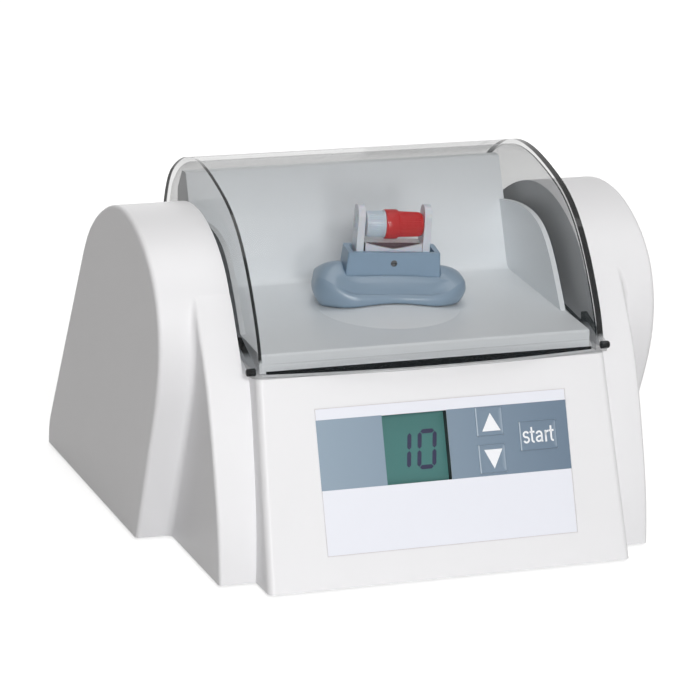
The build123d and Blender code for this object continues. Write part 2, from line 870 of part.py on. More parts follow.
# ================================================================== mixing chamber
def tub_outline():
    """Side view of the chamber moulding, from the ledge up."""
    ledge = deck_z + tub_seat
    rear = rear_deck_z + tub_seat
    step = rear_step_y - 0.4
    return closed(
        (tub_front_y, ledge),
        (tub_front_y, floor_height(tub_front_y)),
        (floor_back_y, floor_back_z),
        (back_top_y, back_top_z),
        (back_top_y + back_ridge, back_top_z),
        (back_rear_y, back_rear_z),
        (back_rear_y, rear),
        (step, rear),
        (step, ledge),
    )


def tub_inside():
    """Hollow under the floor and inside the back wall, open below."""
    ledge = deck_z - 10.0
    lean = atan2(back_top_z - floor_back_z, back_top_y - floor_back_y)
    front_y = tub_front_y + tub_wall
    floor_z = floor_back_z - tub_wall
    shift = tub_wall / sin(lean)
    top_z = back_top_z - tub_wall
    return closed(
        (front_y, ledge),
        (front_y, floor_height(front_y) - tub_wall),
        (floor_back_y + shift, floor_z),
        (back_top_y + shift - 0.4, top_z - 0.8),
        (back_top_y + back_ridge - 1.0, top_z),
        (back_rear_y - tub_wall, back_rear_z - 1.2),
        (back_rear_y - tub_wall, rear_deck_z + tub_wall + 1.5),
        (rear_step_y - 0.4 - tub_wall, rear_deck_z + tub_wall + 1.5),
        (rear_step_y - 0.4 - tub_wall, ledge),
    )


def side_arch():
    """Raised side of the chamber, low at the front and joined to the back wall."""
    foot = (side_arch_foot_y, floor_height(side_arch_foot_y) - 1.0)
    back_y = back_top_y - 2.0
    curve = Spline(
        [
            foot,
            (side_arch_bend_y, side_arch_bend_z),
            (side_arch_bend_y + 14.5, side_arch_bend_z + 15.0),
            (side_arch_top_y, side_arch_top_z),
            (back_y, side_arch_back_z),
        ],
    )
    low = floor_height(side_arch_foot_y) - 3.0
    return (
        curve
        + Line((back_y, side_arch_back_z), (back_y, low))
        + Line((back_y, low), (side_arch_foot_y, low))
        + Line((side_arch_foot_y, low), foot)
    )


def floor_dome(grow=0.0):
    """Shallow round rise in the floor, square to it, about where the arm comes through."""
    ball_radius = (dome_radius**2 + dome_height**2) / (2 * dome_height)
    depth = ball_radius - dome_height
    ball = Pos(0, 0, -depth) * Sphere(ball_radius + grow)
    rim = rod_z(dome_radius + 6.0, -tub_wall, dome_height + 2.0)
    place = Pos(0, dome_y, floor_height(dome_y)) * Rot(head_lean, 0, 0)
    return place * (ball & rim)


def arm_slot(length, width):
    """Round-ended slot along X through the floor where the arm comes through."""
    half = length / 2 - width / 2
    middle = block(-half, half, -width / 2, width / 2, 20.0, 45.0)
    ends = rod_z(width / 2, 20.0, 45.0, half) + rod_z(width / 2, 20.0, 45.0, -half)
    return drive * (middle + ends)


def chamber_tub():
    """White moulding that forms the chamber's floor, back and raised sides."""
    face = make_face(tub_outline())
    near = [v for v in face.vertices() if abs(v.Y - floor_back_z) < 0.01 and v.X < 1.0]
    face = fillet(near, tub_round)
    tips = [v for v in face.vertices() if v.Y > back_top_z - 0.01]
    face = fillet(tips, 1.5)
    lips = [v for v in face.vertices() if abs(v.Y - floor_height(tub_front_y)) < 0.01]
    face = fillet(lips, 1.2)
    tub = side_face_prism(face, -tub_half, tub_half)
    inner_half = tub_half - tub_wall
    tub = tub - side_prism(tub_inside(), -inner_half, inner_half)
    for x_from, x_to in ((-tub_half, -inner_half), (inner_half, tub_half)):
        tub = tub + side_prism(side_arch(), x_from, x_to)
    tub = tub + (floor_dome() - tub)
    for x, y in tub_places():
        post_top = floor_height(y) - tub_wall + 1.0
        post = rod_z(boss_radius, deck_z + tub_seat, post_top, x, y)
        tub = tub + post - rod_z(screw_radius + screw_clearance, 80.0, post_top - 1.5, x, y)
    return tub - arm_slot(arm_slot_length, arm_slot_width)


def tub_screws():
    """Four screws up through the ledge into the chamber's posts."""
    screws = None
    ledge_under = deck_z - wall
    for x, y in tub_places():
        head = rod_z(2.8, ledge_under - 2.0, ledge_under, x, y)
        shank = rod_z(screw_radius, ledge_under, ledge_under + 7.0, x, y)
        screw = head + shank
        screws = screw if screws is None else screws + screw
    return screws


# ================================================================== hood
def knuckle_point(angle, radius=knuckle_radius):
    """Point round the hinge at an angle from the back."""
    return (hinge_y + radius * cos(radians(angle)), hinge_z + radius * sin(radians(angle)))


def hood_curves(inset=0.0):
    """Clear sheet seen from the side, from the lip over the top to under the hinge."""
    leave = knuckle_point(tail_angle)
    way = (sin(radians(tail_angle)), -cos(radians(tail_angle)))
    tail = (leave[0] - tail_length * way[0], leave[1] - tail_length * way[1])
    sheet = Spline(
        [
            (hood_front_y, hood_front_z),
            (hood_front_y + 8.9, hood_front_z + 20.3),
            (hood_front_y + 22.2, hood_front_z + 39.7),
            (hood_front_y + 39.2, hood_front_z + 54.6),
            (hood_top_y - 31.8, hood_top_z - 5.9),
            (hood_top_y, hood_top_z),
            (hood_top_y + 22.0, hood_top_z - 2.9),
            (hood_top_y + 38.0, hood_top_z - 9.8),
            tail,
        ],
        tangents=[(0.25, 1), way],
    )
    turn_radius = knuckle_radius - inset
    turn = ThreePointArc(
        knuckle_point(tail_angle, turn_radius),
        knuckle_point(-25.0, turn_radius),
        knuckle_point(-90.0, turn_radius),
    )
    return [inside_of(sheet, inset), inside_line(tail, leave, inset), turn]


def hood_end_outline():
    """Side view of the hood's end walls."""
    under = knuckle_point(-90.0)
    return joined(
        hood_curves(),
        (hinge_y - 25.0, under[1] + 0.1),
        (flange_back_y, flange_back_z),
        (hood_front_y + 3.0, lip_bottom_z),
        (hood_front_y, lip_bottom_z),
    )


def hood_inside_outline():
    """Side view of the hood's hollow, run on well below the lip."""
    curves = hood_curves(hood_sheet)
    low_z = lip_bottom_z - 60.0
    return joined(curves, (hinge_y, low_z), ((curves[0] @ 0).X, low_z))


def lip_plan(half, shift, bulge):
    """Plan of the lip: a shallow bow to the front, closed behind."""
    end_y = hood_front_y + shift
    back_y = hood_front_y + 7.0
    bow = ThreePointArc((-half, end_y), (0, end_y - bulge), (half, end_y))
    return bow + Polyline((half, end_y), (half, back_y), (-half, back_y), (-half, end_y))


def over_lip(lower):
    """Everything above the lip's sloping top, lowered by a skin."""
    slope = (hood_front_z - lip_edge_z) / lip_bulge
    reach = 20.0
    start = (hood_front_y, hood_front_z - lower)
    front = (hood_front_y - reach, hood_front_z - lower - slope * reach)
    high = 130.0
    outline = closed(
        start, front, (front[0], high), (hood_front_y + 20.0, high), (hood_front_y + 20.0, start[1])
    )
    return side_prism(outline, -100.0, 100.0)


def hood_shell():
    """Clear hood: bent sheet, two end walls, bowed lip and side flanges, in one moulding."""
    outer = side_prism(hood_end_outline(), -hood_half, hood_half)
    plan = make_face(lip_plan(flange_half, 0.0, lip_bulge))
    plan = fillet([v for v in plan.vertices() if v.Y < hood_front_y + 0.5], lip_round)
    lip = extrude(Plane.XY.offset(lip_bottom_z) * plan, hood_front_z + 1.0 - lip_bottom_z, dir=(0, 0, 1))
    lip = lip - over_lip(0.0)
    flange_top_z = lip_bottom_z + flange_height
    for side in (-1, 1):
        ends = sorted((side * hood_half, side * (flange_half + 5)))
        lip = lip - block(*ends, -120.0, -80.0, flange_top_z, 120.0)
    flange_outline = closed(
        (hood_front_y + 2.0, lip_bottom_z),
        (hood_front_y + 3.0, lip_bottom_z),
        (flange_back_y, flange_back_z),
        (flange_back_y, flange_back_z + flange_height),
        (hood_front_y + 2.0, flange_top_z),
    )
    flanges = mirrored(side_prism(flange_outline, hood_half - 1.0, flange_half))
    inner_half = hood_half - hood_sheet
    inside = side_prism(hood_inside_outline(), -inner_half, inner_half)
    pocket = plan_prism(
        lip_plan(inner_half, lip_wall, lip_bulge), lip_bottom_z - 5.0, hood_front_z + 1.0
    )
    pocket = pocket - over_lip(hood_sheet)
    hood = outer + lip + flanges - inside - pocket
    for side in (-1, 1):
        bore = rod_x(
            hinge_pin_radius + hinge_pin_clearance, side * 70.0, side * 90.0, hinge_y, hinge_z
        )
        socket = rod_x(
            buffer_radius + buffer_gap, side * (hood_half + 0.6), side * 90.0, buffer_y, buffer_z
        )
        hood = hood - bore - socket
    return hood


def hood_seal():
    """Black strip behind the lip, deepest in the middle."""
    front_shift = lip_wall + seal_gap
    band = plan_prism(lip_plan(seal_half, front_shift, lip_bulge), seal_bottom_z, hood_front_z)
    band = band - plan_prism(
        lip_plan(seal_half + 5.0, front_shift + seal_thickness, lip_bulge), 80.0, 120.0
    )
    end_z = seal_bottom_z + seal_end_height
    middle_z = seal_bottom_z + seal_middle_height
    lens = ThreePointArc((-seal_half, end_z), (0, middle_z), (seal_half, end_z)) + Polyline(
        (seal_half, end_z),
        (seal_half, seal_bottom_z),
        (-seal_half, seal_bottom_z),
        (-seal_half, end_z),
    )
    return band & front_prism(lens, hood_front_y - 12.0, hood_front_y + 8.0)


def hood_buffers():
    """Two black rubber buffers in the lip's corners."""
    inner = hood_half + 0.6
    rod = rod_x(buffer_radius, inner, inner + 4.0, buffer_y, buffer_z)
    rod = fillet(rod.edges().group_by(Axis.X)[-1], 0.9)
    return mirrored(rod)


def hinge_pins():
    """Two steel pins fixed in the wings, on which the hood turns."""
    pin = rod_x(hinge_pin_radius, hinge_pin_inner_x, hinge_pin_outer_x, hinge_y, hinge_z)
    return mirrored(chamfer(pin.edges().group_by(Axis.X)[0], 0.4))


def hood_magnet():
    """Disc magnet on the hood's right end wall."""
    return rod_x(magnet_radius, hood_half, hood_half + magnet_thickness, magnet_y, magnet_z)


def hood_sensor():
    """Sensor inside the right wing that feels the hood's magnet."""
    inner = wing_gap_half + wall
    body = block(inner, inner + 4.0, magnet_y - 6.0, magnet_y + 6.0, magnet_z - 5.0, magnet_z + 3.0)
    leads = block(inner + 1.0, inner + 2.0, magnet_y - 3.0, magnet_y + 3.0, magnet_z - 11.0, magnet_z)
    return body + leads


# ================================================================== mixing drive
def chassis():
    """Cast frame: a floor plate, two cheeks that carry the pivot pin, and the motor cradle."""
    floor = block(
        -chassis_half,
        chassis_half,
        chassis_front_y,
        chassis_back_y,
        chassis_bottom_z,
        chassis_top_z,
    )
    floor = fillet(floor.edges().filter_by(Axis.Z), 5.0)
    uprights = None
    for start, thickness in (
        (cheek_front_y, cheek_front_thickness),
        (cheek_back_y, cheek_back_thickness),
    ):
        half = cheek_half
        shape = closed(
            (-half - 5, -70.0),
            (half + 5, -70.0),
            (half, -crank_drop - 2.0),
            (half - 6.0, cheek_top),
            (-half + 6.0, cheek_top),
            (-half, -crank_drop - 2.0),
        )
        cheek = front_prism(shape, start, start + thickness)
        uprights = cheek if uprights is None else uprights + cheek
    for y_from, y_to in ((motor_front_y + 4.0, motor_front_y + 12.0), (52.0, 60.0)):
        uprights = uprights + block(-22.0, 22.0, y_from, y_to, -80.0, -crank_drop - 10.0)
    uprights = uprights - rod_y(motor_radius + 0.1, motor_front_y - 1, 90.0, 0, -crank_drop)
    uprights = uprights - rod_y(bearing_radius + 0.02, cheek_back_y - 1, 20.0, 0, -crank_drop)
    uprights = uprights - rod_y(pin_radius + 0.02, -30.0, 30.0)
    above = block(-60, 60, -120, 120, chassis_top_z - 0.5, 120)
    return floor + ((drive * uprights) & above)


def chassis_dampers():
    """Four rubber dampers between the base plate and the chassis."""
    x = chassis_half - damper_inset
    dampers = None
    for y in (chassis_front_y + damper_inset, chassis_back_y - damper_inset):
        damper = mirrored(rod_z(damper_radius, plate_top_z, chassis_bottom_z, x, y))
        dampers = damper if dampers is None else dampers + damper
    return dampers


def pivot_pin():
    """Steel pin through both cheeks and the arm's hub."""
    front = cheek_front_y - 1.5
    back = cheek_back_y + cheek_back_thickness + 1.0
    pin = rod_y(pin_radius, front, back)
    return drive * chamfer(pin.edges().filter_by(GeomType.CIRCLE), 0.5)


def swing_arm():
    """Cast arm: hub on the pin, neck up to the holder, yoke down round the crank."""
    reach = crank_throw * 2 + crank_bearing_radius + yoke_room
    tall = crank_throw + crank_bearing_radius + yoke_room + 0.6
    hub = rod_y(hub_radius, -hub_half_length, hub_half_length)
    neck = rod_z(neck_radius, 0.0, holder_low)
    spigot = rod_z(spigot_radius, holder_low - 1.0, holder_low + holder_floor)
    outer = block(
        -reach - yoke_rim,
        reach + yoke_rim,
        yoke_front_y,
        yoke_back_y,
        -crank_drop - tall - yoke_rim,
        -crank_drop + tall + yoke_rim,
    )
    outer = fillet(outer.edges().filter_by(Axis.Y), 5.0)
    stem = block(-7.0, 7.0, yoke_front_y, yoke_back_y, -crank_drop + tall, 0.0)
    room = block(-reach, reach, -9.0, 9.0, -crank_drop - tall, -crank_drop + tall)
    room = fillet(room.edges().filter_by(Axis.Y), 4.0)
    arm = hub + neck + spigot + outer + stem - room
    arm = arm - rod_y(pin_radius + pin_clearance, -20.0, 20.0)
    return arm_place * arm


def crank():
    """Crank disc with its counterweight and the pin that drives the yoke."""
    disc = rod_y(disc_radius, disc_front_y, disc_back_y)
    weight = rod_y(counterweight_radius, disc_front_y, disc_back_y) & block(
        -20.0, 20.0, disc_front_y, disc_back_y, -20.0, -2.0
    )
    pin = rod_y(crank_pin_radius, yoke_front_y - 0.6, disc_front_y, 0, crank_throw)
    bore = rod_y(shaft_radius, disc_front_y - 1, disc_back_y + 1)
    return shaft_place * (disc + weight - bore + pin)


def crank_bearing():
    """Ball bearing on the crank pin, drawn as one ring."""
    ring = rod_y(crank_bearing_radius, yoke_front_y, yoke_back_y, 0, crank_throw)
    bore = rod_y(crank_pin_radius + crank_bearing_gap, -20, 20, 0, crank_throw)
    return shaft_place * (ring - bore)


def motor_shaft():
    """Motor shaft, from the crank to the fan."""
    shaft = rod_y(shaft_radius, disc_front_y, fan_back_y + 1.0)
    return shaft_place * chamfer(shaft.edges().filter_by(GeomType.CIRCLE), 0.4)


def ball_bearing(y_from):
    """Shaft bearing, drawn as one ring."""
    ring = rod_y(bearing_radius, y_from, y_from + bearing_width)
    groove = rod_y(bearing_radius - 2.0, y_from - 1, y_from + 0.6)
    groove = groove - rod_y(shaft_radius + 2.0, y_from - 1, y_from + 1)
    ring = ring - groove - rod_y(shaft_radius + shaft_clearance, y_from - 1, y_from + 20)
    return drive * Pos(0, 0, -crank_drop) * ring


def motor_can():
    """Steel tube round the motor."""
    tube = rod_y(motor_radius, motor_front_y, motor_back_y)
    tube = tube - rod_y(motor_radius - motor_skin, motor_front_y - 1, motor_back_y + 1)
    return drive * Pos(0, 0, -crank_drop) * tube


def motor_front_cap():
    """Front end plate inside the can."""
    inner = motor_radius - motor_skin
    cap = rod_y(inner, motor_front_y, motor_front_y + motor_cap)
    cap = cap - rod_y(shaft_radius + 2.5, motor_front_y - 1, motor_front_y + motor_cap + 1)
    return drive * Pos(0, 0, -crank_drop) * cap


def motor_rear_cap():
    """Rear end bell with the rear bearing's seat and air holes."""
    inner = motor_radius - motor_skin
    cap = rod_y(inner, motor_back_y - motor_cap, motor_back_y)
    seat = rod_y(bearing_radius + 2.5, motor_back_y - motor_cap, rear_bearing_y + bearing_width)
    cap = cap + seat - rod_y(bearing_radius, rear_bearing_y, 90.0) - rod_y(7.0, 50.0, 90.0)
    for index in range(6):
        angle = radians(60 * index + 30)
        middle = (inner + bearing_radius + 2.5) / 2
        cap = cap - rod_y(3.0, 50.0, 90.0, middle * cos(angle), middle * sin(angle))
    return drive * Pos(0, 0, -crank_drop) * cap


def motor_magnets():
    """Two curved field magnets inside the can."""
    outer = motor_radius - motor_skin
    ring = rod_y(outer, rotor_front_y, rotor_back_y)
    ring = ring - rod_y(outer - magnet_depth, rotor_front_y - 1, rotor_back_y + 1)
    sides = block(-40, 40, rotor_front_y - 1, rotor_back_y + 1, -13.0, 13.0)
    return drive * Pos(0, 0, -crank_drop) * (ring & sides)


def rotor_core():
    """Slotted rotor on the shaft."""
    core = rod_y(rotor_radius, rotor_front_y, rotor_back_y)
    core = core - rod_y(shaft_radius, rotor_front_y - 1, rotor_back_y + 1)
    for index in range(9):
        angle = 40.0 * index
        slot = block(-1.2, 1.2, rotor_front_y - 1, rotor_back_y + 1, rotor_radius - 9, 40.0)
        core = core - Rot(0, angle, 0) * slot
    return shaft_place * core


def commutator():
    """Copper commutator on the shaft."""
    ring = rod_y(commutator_radius, commutator_front_y, commutator_back_y)
    ring = ring - rod_y(shaft_radius, commutator_front_y - 1, commutator_back_y + 1)
    for index in range(9):
        slit = block(-0.3, 0.3, commutator_front_y - 1, commutator_back_y + 1, 6.8, 20.0)
        ring = ring - Rot(0, 40.0 * index, 0) * slit
    return shaft_place * ring


def motor_brushes():
    """Two carbon brushes at the commutator."""
    start = commutator_radius + 0.1
    middle = (commutator_front_y + commutator_back_y) / 2
    half = brush_width / 2
    brush = block(start, start + brush_length, middle - 2.5, middle + 2.5, -half, half)
    tall = half + 1.0
    end = sqrt((motor_radius - motor_skin) ** 2 - tall**2)
    holder = block(start + 3.0, end, middle - 3.5, middle + 3.5, -tall, tall)
    return brush, holder - brush


def cooling_fan():
    """Fan on the back end of the shaft."""
    hub = rod_y(fan_hub_radius, fan_front_y, fan_back_y)
    back = rod_y(fan_radius, fan_front_y, fan_front_y + 1.2)
    fan = hub + back
    for index in range(fan_blades):
        blade = block(
            -0.7, 0.7, fan_front_y + 0.6, fan_back_y, fan_hub_radius - 1.0, fan_radius - 0.6
        )
        fan = fan + Rot(0, 360.0 / fan_blades * index, 0) * blade
    return shaft_place * (fan - rod_y(shaft_radius, fan_front_y - 1, fan_back_y + 2))


# ================================================================== capsule holder
def holder_block():
    """Open-topped grey block on the arm, with a pocket for the clip."""
    outline = closed(
        (-holder_half_low, holder_low),
        (holder_half_low, holder_low),
        (holder_half_high, holder_high),
        (-holder_half_high, holder_high),
    )
    body = front_prism(outline, -holder_half_depth, holder_half_depth)
    body = fillet(body.edges().filter_by(Axis.Z, tolerance=6.0), 1.0)
    pocket_half = holder_half_high - holder_wall
    depth = holder_half_depth - holder_wall
    pocket_low = holder_low + holder_floor
    body = body - block(-pocket_half, pocket_half, -depth, depth, pocket_low, 70.0)
    bore = Pos(0, -holder_shift, 0) * rod_z(spigot_radius, 40.0, 70.0)
    screw = rod_y(holder_screw_radius + 0.05, -20.0, 0.0, 0, holder_screw_up)
    return holder_place * (body - bore - screw)


def holder_screw():
    """Small screw in the holder's front that grips the clip."""
    front = -holder_half_depth
    screw = rod_y(holder_screw_radius, front + 0.3, front + 7.0, 0, holder_screw_up)
    slot = block(-2, 2, front, front + 0.9, holder_screw_up - 0.25, holder_screw_up + 0.25)
    return holder_place * (screw - slot)


def clip_bar():
    """Springy bar of the clip, with a notch, and its foot in the holder's pocket."""
    half = claw_inner - 0.05
    bar = block(-half, half, -bar_half_depth, bar_half_depth, bar_low_up, bar_high_up)
    foot_low = holder_low + holder_floor
    foot = block(-7.0, 7.0, -bar_half_depth, bar_half_depth, foot_low, bar_low_up)
    notch = front_prism(
        closed(
            (-half + 1.6, bar_high_up - 1.4),
            (half - 1.6, bar_high_up - 1.4),
            (0, bar_high_up - 4.6),
        ),
        -10.0,
        10.0,
    )
    screw = rod_y(holder_screw_radius + 0.05, -20.0, 0.5, 0, holder_screw_up)
    return holder_place * (bar + foot - notch - screw)


def claw(side):
    """One round-topped claw that bears on the capsule's end."""
    top_up = capsule_up + 8.6
    outline = closed(
        (side * claw_inner, claw_foot_up),
        (side * (claw_inner + claw_thickness_low), claw_foot_up),
        (side * (claw_inner + claw_thickness_low), bar_high_up),
        (side * (claw_inner + claw_thickness_high), top_up),
        (side * claw_inner, top_up),
    )
    plate = front_prism(outline, -claw_half_depth, claw_half_depth)
    inner, outer = claw_inner - 1.0, claw_inner + claw_thickness_low + 1.0
    low, high = sorted((side * inner, side * outer))
    round_up = top_up - claw_half_depth
    shape = block(low, high, -claw_half_depth, claw_half_depth, claw_foot_up, round_up)
    shape = shape + rod_x(claw_half_depth, low, high, 0, round_up)
    plate = plate & shape
    start, end = side * (claw_inner - 1.0), side * (claw_inner + 0.7)
    dimple = rod_x(2.6, start, end, 0, capsule_up)
    return holder_place * (plate - dimple)


def ribbed(x_from, x_to, radius_from, radius_to, wanted_ribs):
    """Round tapering bar along X with shallow flutes."""
    half_section = make_face(closed((x_from, 0), (x_to, 0), (x_to, radius_to), (x_from, radius_from)))
    body = revolve(half_section, Axis.X)
    flute_radius = rib_depth + 0.15
    for index in range(wanted_ribs):
        angle = radians(360.0 / wanted_ribs * index)
        radius = max(radius_from, radius_to) + 0.15
        body = body - rod_x(
            flute_radius, x_from + 0.8, x_to - 0.8, radius * cos(angle), radius * sin(angle)
        )
    return body


def capsule_barrel():
    """Clear barrel of the mixing capsule."""
    barrel = ribbed(-capsule_half_length, collar_from, capsule_radius, capsule_radius, rib_count)
    return holder_place * Pos(0, 0, capsule_up) * barrel


def capsule_cap():
    """Red cap pushed on the barrel: plain collar, then a ribbed end."""
    collar = rod_x(collar_radius, collar_from, collar_to)
    collar = fillet(collar.edges().filter_by(GeomType.CIRCLE), 0.4)
    end = ribbed(collar_to, capsule_half_length, capsule_radius, cap_end_radius, rib_count)
    return holder_place * Pos(0, 0, capsule_up) * (collar + end)


# ================================================================== rubber boot
def boot_outline(inset):
    """Front view of the boot: two lobes with a saddle between, drawn about the arm."""
    reach = boot_half_length - inset
    crest = boot_crest_up - inset
    low = boot_foot_up
    saddle = boot_saddle_up - inset
    half = [
        (boot_foot_x - inset, low),
        (reach - 4.0, low + 6.0),
        (reach, boot_widest_up - inset / 2),
        (reach - 2.6, crest - 3.0),
        (boot_crest_x, crest),
        (boot_saddle_x + 2.6, (crest + saddle) / 2),
        (boot_saddle_x - inset / 2, saddle),
    ]
    right = Spline(half)
    left = Spline([(-x, up) for x, up in half])
    under = Line((-half[0][0], low), half[0])
    over = Line((-half[-1][0], saddle), half[-1])
    return make_face(under + right + over + left)


def boot_form(inset):
    """Boot's solid form, or its inside when inset."""
    depth = boot_half_width + 5.0
    place = Plane((0, -depth, 0), x_dir=(1, 0, 0), z_dir=(0, -1, 0))
    front = extrude(place * boot_outline(inset), 2 * depth, dir=(0, 1, 0))
    plan = Ellipse(boot_half_length + 3.0 - inset, boot_half_width - inset)
    return front & extrude(Plane.XY.offset(20.0) * plan, 50.0, dir=(0, 0, 1))


def arm_boot():
    """Grey rubber boot that closes the arm's slot, seated on the floor's dome."""
    form = boot_form(0.0)
    upper = [e for e in form.edges() if e.bounding_box().max.Z > boot_foot_up + 1.0]
    form = fillet(upper, boot_round)
    inside = boot_form(boot_skin) + (Pos(0, 0, -boot_skin - 2.0) * boot_form(boot_skin))
    neck = rod_z(neck_radius + 0.05, 0.0, 70.0)
    boot = arm_place * Rot(0, 0, -head_turn) * (form - inside - neck)
    under_floor = side_prism(
        closed(
            (tub_front_y, 40.0),
            (tub_front_y, floor_height(tub_front_y) + boot_seat),
            (floor_back_y + 20, floor_height(floor_back_y + 20) + boot_seat),
            (floor_back_y + 20, 40.0),
        ),
        -70.0,
        70.0,
    )
    return boot - under_floor - floor_dome(boot_seat)


# ================================================================== mains side
def rear_plate():
    """Black plate in the casing's rear recess, cut out for the inlet and the switch."""
    face = recess_face_y
    plate = block(
        -rear_plate_half,
        rear_plate_half,
        face,
        face + rear_plate_thickness,
        rear_plate_low_z,
        rear_plate_high_z,
    )
    plate = fillet(plate.edges().filter_by(Axis.Y), 2.0)
    grow = 0.15
    body_x = inlet_half_width - inlet_body_inset + grow
    body_z = inlet_half_height - inlet_body_inset + grow
    plate = plate - block(
        inlet_x - body_x, inlet_x + body_x, 90, 100, inlet_z - body_z, inlet_z + body_z
    )
    hole_x = rocker_half_width + rocker_gap + 1.2 + grow
    hole_z = rocker_half_height + rocker_gap + 1.2 + grow
    plate = plate - block(
        switch_x - hole_x, switch_x + hole_x, 90, 100, switch_z - hole_z, switch_z + hole_z
    )
    for x, z in rear_screw_places():
        plate = plate - rod_y(screw_radius + 0.2, 90, 100, x, z)
    return plate


def rear_screw_places():
    """Corners where the rear plate is screwed to the casing."""
    inset = 3.4
    places = []
    for x in (-rear_plate_half + inset, rear_plate_half - inset):
        for z in (rear_plate_low_z + inset - 1.2, rear_plate_high_z - inset + 1.2):
            places.append((x, z))
    return places


def rear_screws():
    """Four screws that hold the rear plate."""
    screws = None
    start = recess_face_y + rear_plate_thickness
    for x, z in rear_screw_places():
        head = rod_y(2.6, start, start + 1.6, x, z)
        head = head - block(x - 1.9, x + 1.9, start + 0.9, start + 2, z - 0.35, z + 0.35)
        shank = rod_y(screw_radius, recess_face_y - wall + 0.2, start, x, z)
        screw = head + shank
        screws = screw if screws is None else screws + screw
    return screws


def casing_rear_holes(body):
    """Drills the casing's recess wall for the rear plate's screws."""
    for x, z in rear_screw_places():
        body = body - rod_y(screw_radius + screw_clearance, 80, 100, x, z)
    return body


def mains_inlet():
    """Mains inlet: flange, body, three-pin socket and the fuse drawer's pocket."""
    face = recess_face_y + rear_plate_thickness
    flange = block(
        inlet_x - inlet_half_width,
        inlet_x + inlet_half_width,
        face,
        face + inlet_flange,
        inlet_z - inlet_half_height,
        inlet_z + inlet_half_height,
    )
    flange = fillet(flange.edges().filter_by(Axis.Y), 2.5)
    body_x = inlet_half_width - inlet_body_inset
    body_z = inlet_half_height - inlet_body_inset
    body = block(
        inlet_x - body_x,
        inlet_x + body_x,
        face - inlet_depth,
        face,
        inlet_z - body_z,
        inlet_z + body_z,
    )
    front = face + inlet_flange
    middle_z = inlet_z + socket_up
    corner = 4.5
    socket = front_prism(
        closed(
            (inlet_x - socket_half_width, middle_z - socket_half_height),
            (inlet_x + socket_half_width, middle_z - socket_half_height),
            (inlet_x + socket_half_width, middle_z + socket_half_height - corner),
            (inlet_x + socket_half_width - corner, middle_z + socket_half_height),
            (inlet_x - socket_half_width + corner, middle_z + socket_half_height),
            (inlet_x - socket_half_width, middle_z + socket_half_height - corner),
        ),
        front - socket_depth,
        front + 1.0,
    )
    drawer_z = inlet_z - drawer_down
    gap = drawer_gap
    pocket = block(
        inlet_x - drawer_half_width - gap,
        inlet_x + drawer_half_width + gap,
        front - drawer_front - drawer_depth - gap,
        front + 1.0,
        drawer_z - drawer_half_height - gap,
        drawer_z + drawer_half_height + gap,
    )
    return flange + body - socket - pocket


def inlet_contacts():
    """Three contact blades in the socket."""
    front = recess_face_y + rear_plate_thickness + inlet_flange
    back = front - socket_depth
    middle_z = inlet_z + socket_up
    blades = None
    for x, z in ((-contact_pitch, -1.5), (contact_pitch, -1.5), (0.0, 2.5)):
        blade = block(
            inlet_x + x - contact_width / 2,
            inlet_x + x + contact_width / 2,
            back,
            back + contact_length,
            middle_z + z - contact_height / 2,
            middle_z + z + contact_height / 2,
        )
        blades = blade if blades is None else blades + blade
    return blades


def fuse_drawer():
    """Drawer that slides out of the inlet, with a tray for two fuses."""
    front = recess_face_y + rear_plate_thickness + inlet_flange
    drawer_z = inlet_z - drawer_down
    body = block(
        inlet_x - drawer_half_width,
        inlet_x + drawer_half_width,
        front - drawer_front - drawer_depth,
        front + 0.4,
        drawer_z - drawer_half_height,
        drawer_z + drawer_half_height,
    )
    tray = block(
        inlet_x - fuse_length / 2 - 0.3,
        inlet_x + fuse_length / 2 + 0.3,
        front - drawer_front - drawer_depth + 1.2,
        front - drawer_front - 1.0,
        drawer_z - fuse_radius - 0.1,
        drawer_z + drawer_half_height + 1,
    )
    grip = block(
        inlet_x - 4.0,
        inlet_x + 4.0,
        front - 0.6,
        front + 0.5,
        drawer_z - drawer_half_height + 0.8,
        drawer_z - drawer_half_height + 1.8,
    )
    return body - tray - grip


def fuses():
    """Two glass fuses lying in the drawer."""
    front = recess_face_y + rear_plate_thickness + inlet_flange
    drawer_z = inlet_z - drawer_down
    start = front - drawer_front - drawer_depth + 1.2
    pair = None
    for index in range(2):
        y = start + fuse_radius + 0.25 + index * (2 * fuse_radius + 0.4)
        tube = rod_x(
            fuse_radius, inlet_x - fuse_length / 2, inlet_x + fuse_length / 2, y, drawer_z
        )
        pair = tube if pair is None else pair + tube
    return pair


def switch_bezel():
    """Frame of the power switch."""
    face = recess_face_y + rear_plate_thickness
    hole_x = rocker_half_width + rocker_gap
    hole_z = rocker_half_height + rocker_gap
    rim = bezel_rim
    flange = block(
        switch_x - hole_x - rim,
        switch_x + hole_x + rim,
        face,
        face + bezel_flange,
        switch_z - hole_z - rim,
        switch_z + hole_z + rim,
    )
    flange = fillet(flange.edges().filter_by(Axis.Y), 1.5)
    body = block(
        switch_x - hole_x - 1.2,
        switch_x + hole_x + 1.2,
        face - bezel_body_depth,
        face,
        switch_z - hole_z - 1.2,
        switch_z + hole_z + 1.2,
    )
    room = block(
        switch_x - hole_x,
        switch_x + hole_x,
        face - bezel_body_depth + 2.0,
        face + 10.0,
        switch_z - hole_z,
        switch_z + hole_z,
    )
    return flange + body - room


